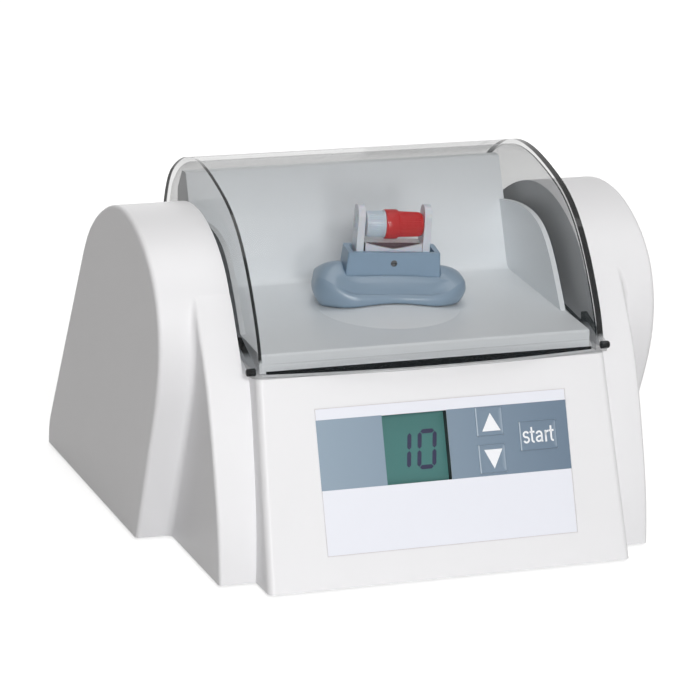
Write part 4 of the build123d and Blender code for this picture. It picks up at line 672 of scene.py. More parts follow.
def weld(mesh: Mesh, reach: float, smooth: bool, flat: float = 0.0) -> None:
    """Merges a mesh's doubled points and sets how its faces shade.

    Args:
        mesh: the mesh.
        reach: how near doubled points lie, in metres.
        smooth: whether its faces shade smoothly.
        flat: angle in degrees under which faces are joined, or nought to turn them outwards.
    """
    shape = bmesh.new()
    shape.from_mesh(mesh)
    bmesh.ops.remove_doubles(shape, verts=shape.verts, dist=reach)
    if flat:
        limit = math.radians(flat)
        bmesh.ops.dissolve_limit(shape, angle_limit=limit, verts=shape.verts, edges=shape.edges)
    else:
        bmesh.ops.recalc_face_normals(shape, faces=shape.faces)
    for face in shape.faces:
        face.smooth = smooth
    shape.to_mesh(mesh)
    shape.free()


def sharpen(piece: Piece, degrees: float) -> None:
    """Marks a piece's edges sharp past an angle."""
    piece.data.set_sharp_from_angle(angle=math.radians(degrees))


def round_edges(piece: Piece, width_mm: float, segments: int = 2, degrees: float = 40.0) -> None:
    """Rounds a piece's sharp edges and keeps its flat faces flat.

    Args:
        piece: the piece.
        width_mm: the rounding's width.
        segments: how many facets the rounding has.
        degrees: the angle past which an edge is rounded.
    """
    bevel = piece.modifiers.new("rounded_edges", "BEVEL")
    bevel.width = width_mm * MM
    bevel.segments = segments
    bevel.limit_method = "ANGLE"
    bevel.angle_limit = math.radians(degrees)
    bevel.harden_normals = False
    flat = piece.modifiers.new("flat_faces", "WEIGHTED_NORMAL")
    flat.keep_sharp = True
    flat.weight = 60


def paint(piece: Piece, place: Matrix, finish: Look, wanted: Callable[[Vector], bool]) -> None:
    """Gives some of a piece's faces a second finish.

    Args:
        piece: the piece.
        place: the frame it was made in, in millimetres.
        finish: the second finish.
        wanted: tells from a face's middle, in that frame, whether it gets it.
    """
    piece.data.materials.append(finish.material())
    inverse = place.inverted()
    for polygon in piece.data.polygons:
        if wanted(inverse @ (Vector(polygon.center) / MM)):
            polygon.material_index = 1


def baked(piece: Piece) -> Mesh:
    """Turns a piece's modifiers into its plain mesh."""
    bpy.context.view_layer.update()
    ready = piece.evaluated_get(bpy.context.evaluated_depsgraph_get())
    mesh = bpy.data.meshes.new_from_object(ready)
    piece.modifiers.clear()
    piece.data = mesh
    return mesh


def grown(piece: Piece, tree: Tree, values: dict[str, object], place: Matrix) -> None:
    """Runs a geometry node tree on a piece and keeps the result as a plain mesh.

    Args:
        piece: the piece the tree works on, in its part's own frame, in metres.
        tree: the node tree.
        values: the tree's inputs by name.
        place: the part's frame, in millimetres, which the result is moved to.
    """
    modifier = piece.modifiers.new("grown", "NODES")
    modifier.node_group = tree
    for item in tree.interface.items_tree:
        if item.in_out == "INPUT" and item.name in values:
            modifier[item.identifier] = values[item.name]
    metres = place.copy()
    metres.translation = place.translation * MM
    baked(piece).transform(metres)


@dataclass
class Shape:
    """Points, in millimetres, and faces of a piece in the making."""

    points: list[Point] = field(default_factory=list)
    faces: list[list[int]] = field(default_factory=list)

    def loft(
        self,
        rings: Sequence[Sequence[Point]],
        caps: tuple[bool, bool] = (True, True),
        looped: bool = False,
        joined: bool = True,
    ) -> Shape:
        """Adds rings of points with faces from each ring to the next.

        Args:
            rings: the rings, all with as many points.
            caps: whether the first and the last ring are filled.
            looped: whether the last ring meets the first.
            joined: whether each ring closes on itself.

        Returns:
            The shape.
        """
        first, around, count = len(self.points), len(rings[0]), len(rings)
        self.points += [point for ring in rings for point in ring]
        for ring in range(count if looped else count - 1):
            low, high = first + ring * around, first + (ring + 1) % count * around
            for step in range(around if joined else around - 1):
                after = (step + 1) % around
                self.faces.append([low + step, low + after, high + after, high + step])
        for filled, start in zip(caps, (first, first + (count - 1) * around)):
            if filled:
                self.faces.append(list(range(start, start + around)))
        return self

    def prism(self, outline: Sequence[Spot], low: float, high: float) -> Shape:
        """Adds an outline drawn out from a low to a high face."""
        return self.loft([level(outline, up) for up in (low, high)])

    def piece(self, name: str, place: Matrix, finish: Look, smooth: bool = True) -> Piece:
        """Makes the piece.

        Args:
            name: the piece's name.
            place: the frame of the points, in millimetres.
            finish: what it is made of.
            smooth: whether its faces shade smoothly.

        Returns:
            The new object, at the origin, in metres.
        """
        world = [(place @ Vector(point)) * MM for point in self.points]
        mesh = new_mesh(name, world, self.faces)
        weld(mesh, 1e-7, smooth)
        mesh.materials.append(finish.material())
        return stand(name, mesh)


# ------------------------------------------------------------------ assemblies
@dataclass
class Assembly:
    """A group of pieces that are dressed together."""

    frame: dict
    body: str = "housing"

    def dress(self, finish: Look, *names: str) -> None:
        """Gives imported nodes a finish.

        Args:
            finish: what they are made of.
            names: the nodes.
        """
        for name in names:
            piece = self.frame["nodes"][name]
            piece.data.materials.clear()
            piece.data.materials.append(finish.material())
            log.info("%s dressed with %s", name, finish.name)

    def skin(self, name: str, finish: Look, round_mm: float) -> None:
        """Stands a merged, smooth copy in a node's place.

        Args:
            name: the node.
            finish: what it is made of.
            round_mm: how far its sharp edges are rounded.
        """
        node = self.frame["nodes"][name]
        points = [vertex.co for vertex in node.data.vertices]
        faces = [polygon.vertices for polygon in node.data.polygons]
        mesh = new_mesh(f"{name}_skin", points, faces)
        weld(mesh, 2e-6, smooth=True, flat=0.2)
        mesh.materials.append(finish.material())
        piece = stand(f"{name}_skin", mesh)
        sharpen(piece, 32.0)
        round_edges(piece, round_mm)
        self.settle(piece, finish, node["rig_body"], name)

    def settle(self, piece: Piece, finish: Look, body: str | None = None, *replaced: str) -> None:
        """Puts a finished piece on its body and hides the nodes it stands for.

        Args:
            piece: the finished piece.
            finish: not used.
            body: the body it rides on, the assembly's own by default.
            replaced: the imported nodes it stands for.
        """
        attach(piece, body or self.body)
        if replaced:
            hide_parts(*replaced)
        log.info("%s rides on %s", piece.name, body or self.body)

    def flat(
        self, name: str, shape: Shape, place: Matrix, finish: Look, body: str | None = None
    ) -> None:
        """Makes a flat-shaded piece, such as a print, and puts it on its body.

        Args:
            name: the piece's name.
            shape: its points and faces.
            place: the frame of the points, in millimetres.
            finish: what it is made of.
            body: the body it rides on, the assembly's own by default.
        """
        self.settle(shape.piece(name, place, finish, smooth=False), finish, body)

    def screws(
        self,
        name: str,
        places: Sequence[Point],
        facing: Matrix,
        node: str,
        length: float,
        head_radius: float,
    ) -> None:
        """Stands a cross-slotted screw on each place.

        Args:
            name: the piece's name.
            places: where each head bears, in millimetres.
            facing: turns a screw whose head points along +Y into place.
            node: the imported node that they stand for.
            length: the shank's length.
            head_radius: the head's radius.
        """
        steps, shank, top, floor = 24, 1.5, 1.5, 0.8
        profile = [
            (shank / 2, -length),
            (shank, -length + 1.0),
            (shank, 0.0),
            (head_radius, 0.0),
            (head_radius, top * 0.45),
            (head_radius * 0.82, top * 0.9),
            (head_radius * 0.6, top),
        ]
        rings = [[(x, up, z) for x, z in circle(radius, steps)] for radius, up in profile]
        shape = Shape().loft(rings, caps=(True, False))
        rim, slot = len(shape.points) - steps, len(shape.points)
        arm, half = head_radius * 0.42, 0.32
        cross: list[Spot] = []
        for quarter in range(4):
            c, s = math.cos(quarter * math.pi / 2), math.sin(quarter * math.pi / 2)
            for along, across in ((arm, -half), (arm, half), (half, half)):
                cross.append((along * c - across * s, along * s + across * c))
        levels = ((1.0, top), (0.8, floor))
        sides = [[(x * part, up, z * part) for x, z in cross] for part, up in levels]
        shape.loft(sides, caps=(False, True))
        draft = bmesh.new()
        corners = [draft.verts.new((facing @ Vector(point)) * MM) for point in shape.points]
        for face in shape.faces:
            draft.faces.new([corners[index] for index in face])
        loops = [
            draft.edges.get((corners[start + step], corners[start + (step + 1) % count]))
            for start, count in ((rim, steps), (slot, len(cross)))
            for step in range(count)
        ]
        bmesh.ops.bridge_loops(draft, edges=loops)
        bmesh.ops.recalc_face_normals(draft, faces=draft.faces)
        mesh = bpy.data.meshes.new(f"{name}_one")
        draft.to_mesh(mesh)
        draft.free()
        screw = stand(f"{name}_one", mesh)
        piece = stand(name, new_mesh(name, [Vector(place) * MM for place in places], []))
        values = {"Screw": screw, "Finish": STEEL.material()}
        grown(piece, screw_set_tree(), values, Matrix.Identity(4))
        bpy.data.objects.remove(screw)
        self.settle(piece, STEEL, None, node)


# ------------------------------------------------------------------ key panel
# Each key's opening: left, right, low and high on the panel.
KEYS: dict[str, Rectangle] = {
    "up_key": (16.9, 29.7, 60.2, 72.8),
    "down_key": (16.9, 29.7, 43.8, 56.4),
    "start_key": (36.9, 54.6, 52.2, 65.0),
}


@dataclass
class KeyPanel(Assembly):
    """Printed label, display and keys on the leaning front, in millimetres on the panel."""

    face: float = -0.05
    band: Spot = (42.6, 73.2)
    label: Rectangle = (-56.6, 60.2, 14.2, 78.2)
    line_width: float = 0.22
    line_proud: float = 0.025
    window: Spot = (-26.4, 3.7)
    key_gap: float = 0.05
    key_top: float = 0.35
    key_dish: float = 0.12
    # Width and lowest height of the painted highlight on each key's left rim.
    highlight_width: float = 0.6
    highlight_low: float = 0.05
    ink: float = 0.03
    stem_radius: float = 2.0
    stem: Spot = (-0.5, -4.4)
    stroke: float = 1.9
    stroke_gap: float = 0.25
    figure: Spot = (48.2, 65.6)
    figure_inset: float = 0.9
    figure_columns: Point = (-8.7, -1.7, -13.5)
    figure_depth: Spot = (-4.49, -4.42)
    slant: float = 0.11
    pen: float = 0.165
    letter_scale: float = 14.9 / 2.9
    word_at: Spot = (38.4, 55.4)

    def build(self) -> None:
        """Builds and dresses the whole panel."""
        self.dress(LABEL, "front_label")
        self.dress(BLACK, "display_bezel")
        self.dress(LENS, "display_lens")
        self.dress(CELL, "display_module")
        self.dress(BOARD, "control_board")
        self.dress(STEEL, "board_screws")
        self.dress(CHIPS, "key_switches", "board_parts")
        self.dress(RIBBON, "ribbon_cable")
        self.print_band()
        self.print_line()
        self.figures()
        for name, rectangle in KEYS.items():
            self.key(name, rectangle)
        self.arrows()
        self.lettering()

    def print_band(self) -> None:
        """Prints the grey band in strips round the window and the keys."""
        low, high = self.band
        up, down, start = KEYS["up_key"], KEYS["down_key"], KEYS["start_key"]
        strips = [
            (self.label[0], self.window[0], low, high),
            (self.window[1], up[0], low, high),
            (up[0], up[1], up[3], high),
            (up[0], up[1], down[3], up[2]),
            (up[0], up[1], low, down[2]),
            (up[1], start[0], low, high),
            (start[0], start[1], start[3], high),
            (start[0], start[1], low, start[2]),
            (start[1], self.label[1], low, high),
        ]
        shape = Shape()
        for strip in strips:
            shape.loft([level(box(*strip), self.face + self.ink)], caps=(True, False))
        self.flat("band_print", shape, FRAMES.panel(), FILM)

    def print_line(self) -> None:
        """Prints the hair line round the label's edge."""
        left, right, low, high = self.label
        up = self.face + self.line_proud
        rings = [
            level(box(left + inset, right - inset, low + inset, high - inset), up)
            for inset in (0.0, self.line_width)
        ]
        shape = Shape().loft(rings, caps=(False, False))
        self.flat("label_line", shape, FRAMES.panel(), FRAME_LINE)

    def stroke_outline(self, start: Spot, end: Spot) -> list[Spot]:
        """Outline of one figure stroke with cut corners.

        Args:
            start: the stroke's first end, before the slant.
            end: its other end.

        Returns:
            Six points, slanted.
        """
        half = self.stroke / 2
        a, b = Vector(start), Vector(end)
        along = (b - a).normalized() * half
        side = Vector((-along.y, along.x))
        corners = [a, a + along + side, b - along + side, b, b - along - side, a + along - side]
        middle = sum(self.figure) / 2
        return [(p.x + (p.y - middle) * self.slant, p.y) for p in corners]

    def figures(self) -> None:
        """Two seven-stroke figures that read ten."""
        low, high = self.figure[0] + self.figure_inset, self.figure[1] - self.figure_inset
        middle, gap = (low + high) / 2, self.stroke_gap
        left, right, _ = self.figure_columns
        strokes = [
            ((x, start + gap), (x, end - gap))
            for x in self.figure_columns
            for start, end in ((low, middle), (middle, high))
        ]
        strokes += [((left + gap, v), (right - gap, v)) for v in (low, high)]
        shape = Shape()
        for start, end in strokes:
            shape.prism(self.stroke_outline(start, end), *self.figure_depth)
        self.flat("display_figures", shape, FRAMES.panel(), FIGURE)

    def key(self, name: str, rectangle: Rectangle) -> None:
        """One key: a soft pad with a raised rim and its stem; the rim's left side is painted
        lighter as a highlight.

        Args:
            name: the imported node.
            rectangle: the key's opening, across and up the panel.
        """
        left, right, low, high = rectangle
        gap, top = self.key_gap, self.key_top
        profile = [
            (gap, -0.55, 0.3),
            (gap, top - 0.18, 0.5),
            (gap + 0.12, top - 0.03, 0.5),
            (gap + 0.35, top, 0.5),
            (gap + 0.62, top - 0.06, 0.4),
            (gap + 0.85, top - 0.14, 0.4),
            (gap + 2.5, top - 0.15, 0.3),
        ]
        rings = []
        for inset, up, corner in profile:
            reach = inset + corner
            middles = box(left + reach, right - reach, low + reach, high - reach)
            outline: list[Spot] = []
            for quarter, middle in enumerate((middles[2], middles[3], middles[0], middles[1])):
                outline += arc(middle, corner, 90 * quarter, 90 * quarter + 90, 4)
            rings.append(level(outline, up))
        x, v = (left + right) / 2, (low + high) / 2
        foot = [(x + dx, v + dv) for dx, dv in circle(self.stem_radius, 16)]
        shape = Shape().loft(rings).prism(foot, *self.stem)
        pad = shape.piece(f"{name}_pad", FRAMES.panel(), FILM)
        sharpen(pad, 40.0)
        # Painted highlight: the pad's faces along its left rim take a lighter finish.
        rim = left + gap + self.highlight_width
        paint(pad, FRAMES.panel(), KEY_EDGE_HIGHLIGHT, lambda at: at.z > self.highlight_low and at.x < rim)
        self.settle(pad, FILM, f"{name}_body", name)

    def arrows(self) -> None:
        """White arrow heads printed on the two small keys."""
        low = self.key_top - self.key_dish
        heads = {
            "up": [(19.5, 62.2), (28.2, 62.2), (23.8, 70.2)],
            "down": [(19.6, 54.1), (23.8, 45.6), (28.2, 54.1)],
        }
        for way, outline in heads.items():
            shape = Shape().prism(outline, low, low + self.ink)
            self.flat(f"{way}_arrow", shape, FRAMES.panel(), WHITE_PRINT, f"{way}_key_body")

    def lettering(self) -> None:
        """The word start, printed on the wide key as even strokes, in letter heights."""
        stem_t = [(0.16, 1.36), (0.16, 0.24)] + arc((0.32, 0.24), 0.16, 180, 285)
        bar_t = [(-0.03, 0.94), (0.42, 0.94)]
        upper_s = arc((0.30, 0.75), 0.225, 20, 180) + arc((0.30, 0.745), 0.225, 180, 262)
        lower_s = arc((0.31, 0.29), 0.225, 82, 0) + arc((0.31, 0.285), 0.225, 0, -165)
        bowl_a = arc((0.27, 0.29), 0.2, 105, 262)
        strokes = (
            (0.0, upper_s + lower_s),
            (0.68, stem_t),
            (0.68, bar_t),
            (1.18, arc((0.33, 0.70), 0.235, 170, 0) + [(0.565, 0.2), (0.60, 0.03)]),
            (1.18, [(0.565, 0.56), (0.34, 0.53)] + bowl_a + [(0.42, 0.13), (0.56, 0.3)]),
            (2.0, [(0.12, 0.0), (0.12, 1.0)]),
            (2.0, [(0.12, 0.55)] + arc((0.36, 0.68), 0.24, 175, 80)),
            (2.46, stem_t),
            (2.46, bar_t),
        )
        scale, (left, low) = self.letter_scale, self.word_at
        shape, up = Shape(), self.key_top - self.key_dish
        for start, line in strokes:
            spots = [Vector((left + (start + x) * scale, low + y * scale)) for x, y in line]
            rings = []
            for index, spot in enumerate(spots):
                before, after = spots[max(index - 1, 0)], spots[min(index + 1, len(spots) - 1)]
                along = (after - before).normalized()
                side = Vector((-along.y, along.x)) * self.pen * scale / 2
                rings.append([(*(spot + side), up), (*(spot - side), up)])
            shape.loft(rings, caps=(False, False), joined=False)
        self.flat("start_word", shape, FRAMES.panel(), WHITE_PRINT, "start_key_body")


# ------------------------------------------------------------------ casing and hood
@dataclass
class Casing(Assembly):
    """Casing, chamber, base and feet."""

    base_screws: tuple[Spot, ...] = ((88.0, -94.0), (106.0, -16.0), (106.0, 82.0))
    screw_head_z: float = 1.6 + FOOT

    def build(self) -> None:
        """Dresses the casing and builds the base screws."""
        self.dress(WHITE, "casing")
        self.dress(TUB_WHITE, "chamber_tub")
        self.dress(BASE_GREY, "base_plate")
        self.dress(FOOT_RUBBER, "rubber_feet")
        self.dress(STEEL, "tub_screws")
        self.dress(CHIPS, "hood_sensor")
        places = [(side * x, y, self.screw_head_z) for x, y in self.base_screws for side in (-1, 1)]
        self.screws("base_screw_heads", places, turn("X", -90.0), "base_screws", 10.0, 2.9)


@dataclass
class Hood(Assembly):
    """Clear hood with its strip, buffers, pins and magnet."""

    def build(self) -> None:
        """Dresses the hood."""
        self.dress(HOOD, "hood_shell")
        self.dress(SEAL_RUBBER, "hood_seal")
        self.dress(BUFFER_RUBBER, "hood_buffers")
        self.dress(STEEL, "hood_magnet", "hinge_pins")


# ------------------------------------------------------------------ capsule holder
@dataclass
class Head(Assembly):
    """Rubber boot, grey block, clip and claws on top of the rocking arm, in the holder's frame."""

    body: str = "arm"
    half_length: float = 34.9
    half_width: float = 15.5
    neck: float = 6.3
    crest: float = 51.9
    crest_tilt: float = 0.035
    waist: float = 2.8
    waist_half: float = 26.0
    roll: float = 0.75
    rolls: tuple[Point, ...] = ((0.1, 0.09, 1.0), (0.97, 0.1, 1.0), (0.78, 0.12, -1.0))
    arch: float = 0.9
    arch_half: float = 21.0
    end_rise: float = 2.4
    end_from: float = 16.0
    end_tuck: float = 3.2
    lobes_beside_block: Spot = (13.0, 29.0)
    lobes_past_block: Spot = (21.4, 22.4)
    bulges: tuple[Spot, ...] = (
        (0.45, 0.05),
        (0.8, 0.16),
        (1.0, 0.34),
        (0.95, 0.56),
        (0.7, 0.8),
        (0.2, 1.0),
    )
    floor_gap: float = 0.35
    saddle: float = 47.9
    rim_up: float = 40.9
    wall: float = 1.2
    bend: Spot = (36.0, 45.0)
    around: int = 176
    rings: int = 26
    block_half: float = 22.3
    block_deep: float = 7.6
    claw_inner: float = 14.1
    right_claw_in: float = 0.9
    claw_thick: float = 3.3
    claw_half: float = 5.4
    claw_foot: float = 52.0
    claw_top: float = 79.9
    claw_ring_up: float = 71.1
    bar_low: float = 54.0
    bar_gap: Spot = (-3.4, -1.2)
    floor_back_z: float = 105.0 + FOOT
    floor_fall: float = 5.0
    dome_y: float = -41.0
    dome_radius: float = 33.0
    dome_height: float = 4.0

    def build(self) -> None:
        """Builds the boot, clip and claws and dresses the head."""
        self.skin("holder_block", HOLDER_GREY, 0.55)
        self.dress(DARK_SCREW, "holder_screw")
        self.dress(CAST, "swing_arm")
        self.bar()
        self.claw("left_claw", -1, self.claw_inner)
        self.claw("right_claw", 1, self.claw_inner - self.right_claw_in)
        self.boot()

    def claw(self, node: str, side: int, inner: float) -> None:
        """One thick claw with a round top and a ring on its outer face.

        Args:
            node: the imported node.
            side: minus one for the left claw, one for the right.
            inner: how far its inner face stands from the middle, in millimetres.
        """
        half, foot, outer = self.claw_half, self.claw_foot, inner + self.claw_thick
        outline = [(-half, foot), (half, foot)]
        outline += arc((0.0, self.claw_top - half), half, 0, 180, 32)
        shape = Shape().loft([[(side * x, y, up) for y, up in outline] for x in (inner, outer)])
        profile = [(2.1, 0.0), (2.1, 0.28), (2.35, 0.4), (3.55, 0.4), (3.8, 0.28), (3.8, 0.0)]
        rings = []
        for radius, proud in profile:
            x, round_it = side * (outer - 0.02 + proud), circle(radius, 40)
            rings.append([(x, y, self.claw_ring_up + up) for y, up in round_it])
        shape.loft(rings, caps=(False, False), looped=True)
        piece = shape.piece(f"{node}_skin", FRAMES.holder(), CLAW)
        sharpen(piece, 50.0)
        round_edges(piece, 0.55, 4, 50.0)
        self.settle(piece, CLAW, f"{node}_body", node)

    def bar(self) -> None:
        """Springy bar between the claws: a dished front wall, a gap painted dark as shade and a
        back rail.
        """
        half, steps, low = self.claw_inner - 1.0, 24, self.bar_low
        front, back = self.bar_gap
        shape = Shape()
        for y_from, y_to, height, dish in (
            (front - 1.2, front, 62.9, 2.8),
            (back, 5.4, 62.2, 0.0),
            (front, back, 57.0, 0.0),
        ):
            rings = []
            for step in range(steps + 1):
                x = -half + 2 * half * step / steps
                top = height - dish * (1 - abs(x / half)) ** 0.8
                rings.append([(x, y, up) for y, up in box(y_from, y_to, low, top)])
            shape.loft(rings)
        piece = shape.piece("clip_bar_skin", FRAMES.holder(), CLAW, smooth=False)

        def in_gap(at: Vector) -> bool:
            """Whether a face lies in the gap, its two ends left out."""
            return front - 0.05 <= at.y <= back + 0.05 and at.z > 55.0 and abs(at.x) < half - 0.01

        # Painted shade: the faces in the gap get a dark finish where shade would fall.
        paint(piece, FRAMES.holder(), CLIP_SHADE, in_gap)
        self.settle(piece, CLAW, None, "clip_bar")

    def floor_z(self, x: float, y: float) -> float:
        """Height of the chamber floor, dome included, in millimetres.

        Args:
            x: across, from the middle.
            y: back, from the middle.

        Returns:
            The height over the bench.
        """
        lean = math.radians(self.floor_fall)
        fall = math.tan(lean)
        ball = (self.dome_radius**2 + self.dome_height**2) / (2 * self.dome_height)
        depth = ball - self.dome_height
        centre_y = self.dome_y + depth * math.sin(lean)
        centre_z = self.floor_back_z + self.dome_y * fall - depth * math.cos(lean)
        inside = ball**2 - x**2 - (y - centre_y) ** 2
        return max(self.floor_back_z + y * fall, centre_z + math.sqrt(max(inside, 0.0)))

    def seat_up(self, x: float, y: float) -> float:
        """How far up the holder's frame the boot ends over the floor at a place.

        Args:
            x: across, in the holder's frame.
            y: back, in the holder's frame.

        Returns:
            The height in the holder's frame, in millimetres.
        """
        up, tries = 34.0, 4
        for _ in range(tries):
            world = FRAMES.holder() @ Vector((x, y, up))
            up -= world.z - self.floor_z(world.x, world.y) - self.floor_gap
        return up

    def loop(self, half: float, deep: float, power: float) -> list[Spot]:
        """Points round a rounded outline, seen from above.

        Args:
            half: its half length.
            deep: its half width.
            power: how square it is; two is an ellipse.

        Returns:
            The points, evenly turned.
        """
        spots = []
        for c, s in circle(1.0, self.around):
            reach = (abs(c) ** power + abs(s) ** power) ** (-1 / power)
            spots.append((half * reach * c, deep * reach * s))
        return spots

    def top_up(self, x: float, y: float) -> float:
        """Height of the boot's upper side outside the block.

        Args:
            x: across, in the holder's frame.
            y: back, in the holder's frame.

        Returns:
            The height in the holder's frame, in millimetres.
        """
        far, deep, start = abs(x), abs(y), self.block_deep + 0.4
        out = share_of(deep, start, self.half_width - self.waist / 2)
        arch = self.arch * max(1 - (x / self.arch_half) ** 2, 0.0) * max(1 - 2.0 * out, 0.0)
        cove = self.rim_up + (self.saddle - self.rim_up) * (1 - out) ** 1.6 + arch
        cove += sum(self.roll * sign * swell(out, at, width) for at, width, sign in self.rolls)
        end = share_of(far, self.block_half, self.half_length)
        bell = math.cos(math.pi / 2 * min(deep / (self.half_width + 1.8), 1.0)) ** 1.5
        crest, rim = self.crest - self.crest_tilt * x, self.rim_at(x)
        lobe = rim + (crest - rim) * (1 - end**2.4) ** 0.5 * bell
        lobes = self.lobes_beside_block if deep > start else self.lobes_past_block
        return cove + (lobe - cove) * eased(share_of(far, *lobes))

    def rim_at(self, x: float) -> float:
        """Height at which the boot is widest: higher at its round ends than along its front.

        Args:
            x: across, in the holder's frame.

        Returns:
            The height in the holder's frame, in millimetres.
        """
        share = share_of(abs(x), self.end_from, self.half_length)
        return self.rim_up + self.end_rise * eased(share)

    def outside(self, edge: Sequence[Spot]) -> list[list[Point]]:
        """Rings from the boot's widest line down to its bead on the floor.

        Args:
            edge: the boot's widest line, seen from above.

        Returns:
            The rings, from the top.
        """
        rings = []
        for out, part in self.bulges:
            ring = []
            for x, y in edge:
                away = Vector((x / self.half_length**2, y / self.half_width**2)).normalized()
                rim = self.rim_at(x)
                grow = out - self.end_tuck * (rim - self.rim_up) / self.end_rise * part**1.6
                x, y = x + away.x * grow, y + away.y * grow
                ring.append((x, y, rim + (self.seat_up(x, y) - rim) * part))
            rings.append(ring)
        return rings

    def boot(self) -> None:
        """Builds the boot as one skin from the neck over two lobes to the bead on the floor."""
        rings = [level(self.loop(self.neck, self.neck, 2.0), self.saddle - 0.5)]
        for grow in (-0.5, 0.15):
            outline = self.loop(self.block_half + grow, self.block_deep + grow, 9.0)
            rings.append(level(outline, self.saddle - 0.1))
        collar = self.loop(self.block_half + 0.45, self.block_deep + 0.5, 8.0)
        edge = []
        for x, y in self.loop(self.half_length, self.half_width, 2.6):
            pinch = math.cos(math.pi * min(abs(x) / self.waist_half, 1.0))
            edge.append((x, y * (1 - self.waist / self.half_width * 0.5 * pinch)))
        for ring in range(self.rings + 1):
            share = ring / self.rings
            spots = [
                (x0 + (x1 - x0) * share, y0 + (y1 - y0) * share)
                for (x0, y0), (x1, y1) in zip(collar, edge)
            ]
            rings.append([(x, y, self.top_up(x, y)) for x, y in spots])
        shape = Shape().loft(rings + self.outside(edge), caps=(False, False))
        boot = shape.piece("arm_boot_skin", FRAMES.holder(), BOOT_RUBBER)
        highest = max(boot.data.polygons, key=lambda polygon: polygon.center.z)
        if highest.normal.z < 0:
            boot.data.flip_normals()
        wall = boot.modifiers.new("wall", "SOLIDIFY")
        wall.thickness = self.wall * MM
        wall.offset = -1.0
        baked(boot)
        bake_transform(boot)
        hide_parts("arm_boot")
        log.info("arm_boot_skin bends between housing and arm")


# ------------------------------------------------------------------ capsule
@dataclass
class Capsule(Assembly):
    """Mixing capsule: milky barrel and red cap, both finely ribbed."""

    body: str = "capsule"
    up: float = 70.6
    half_length: float = 13.3
    barrel_radius: float = 5.8
    collar_radius: float = 6.8
    collar: Spot = (-4.4, 1.7)
    hole: float = 0.3
    rib_count: int = 34
    rib_radius: float = 0.28
    rib_sunk: float = 0.16
    cap_taper: float = 6.0

    def build(self) -> None:
        """Builds both halves."""
        self.barrel()
        self.cap()

    def turned(
        self,
        node: str,
        profile: Sequence[Spot],
        finish: Finish,
        ribs_from: float,
        length: float,
        taper: Spot = (0.0, 0.0),
    ) -> None:
        """Turns a profile, lays its ribs and stands it for its node.

        Args:
            node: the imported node.
            profile: points as (along, radius), in millimetres.
            finish: what it is made of.
            ribs_from: where its ribs begin.
            length: how long they are.
            taper: how fast it narrows, in a metre, and where that begins.
        """
        rings = [[(along, y, z) for y, z in circle(radius, 72)] for along, radius in profile]
        piece = Shape().loft(rings).piece(f"{node}_skin", Matrix.Identity(4), finish)
        sharpen(piece, 40.0)
        values = {
            "Ribs": self.rib_count,
            "Ring Radius": (self.barrel_radius - self.rib_sunk) * MM,
            "Rib Radius": self.rib_radius * MM,
            "Rib Length": length * MM,
            "Rib Middle": (ribs_from + length / 2) * MM,
            "Taper": taper[0],
            "Taper Start": taper[1] * MM,
            "Finish": finish.material(),
        }
        grown(piece, rib_ring_tree(), values, FRAMES.holder() @ shift(0, 0, self.up))
        piece.data.materials.clear()
        piece.data.materials.append(finish.material())
        self.settle(piece, finish, None, node)

    def barrel(self) -> None:
        """Milky barrel with a closed round end."""
        end, radius, low = -self.half_length, self.barrel_radius, self.collar[0]
        profile = [
            (end, self.hole),
            (end, radius - 1.0),
            (end + 0.3, radius - 0.3),
            (end + 1.0, radius),
            (low - 0.8, radius),
            (low - 0.8, radius + 0.35),
            (low - 0.02, radius + 0.35),
            (low - 0.02, self.hole),
        ]
        self.turned("capsule_barrel", profile, BARREL, end + 1.2, low - end - 2.4)

    def cap(self) -> None:
        """Red cap: plain collar, then a ribbed end with a rounded edge."""
        end, radius, wide = self.half_length, self.barrel_radius, self.collar_radius
        low, high = self.collar
        profile = [
            (low, self.hole),
            (low, wide - 0.45),
            (low + 0.15, wide - 0.12),
            (low + 0.45, wide),
            (high - 0.7, wide),
            (high - 0.2, wide - 0.2),
            (high, radius + 0.2),
            (high + 0.2, radius),
            (end - 1.2, radius - 0.1),
            (end - 0.5, radius - 0.45),
            (end, radius - 1.3),
            (end, self.hole),
        ]
        taper = (self.cap_taper, high)
        self.turned("capsule_cap", profile, CAP_RED, high + 0.4, end - high - 2.0, taper)


# ------------------------------------------------------------------ drive and mains
@dataclass
class Drive(Assembly):
    """Motor, crank and chassis inside the casing."""

    def build(self) -> None:
        """Dresses each inner piece."""
        self.dress(CAST, "chassis", "motor_end_caps")
        self.dress(FOOT_RUBBER, "chassis_dampers")
        self.dress(STEEL, "pivot_pin", "crank", "crank_bearing", "motor_shaft", "shaft_bearings")
        self.dress(MOTOR, "motor_can")
        self.dress(FERRITE, "motor_magnets")
        self.dress(CORE, "rotor_core", "transformer_core")
        self.dress(COPPER, "commutator")
        self.dress(CARBON, "motor_brushes")
        self.dress(BRASS, "brush_holders")
        self.dress(FAN, "cooling_fan")
        self.dress(BOARD, "power_board")
        self.dress(CHIPS, "power_parts")
        self.dress(TAPE, "transformer_winding")


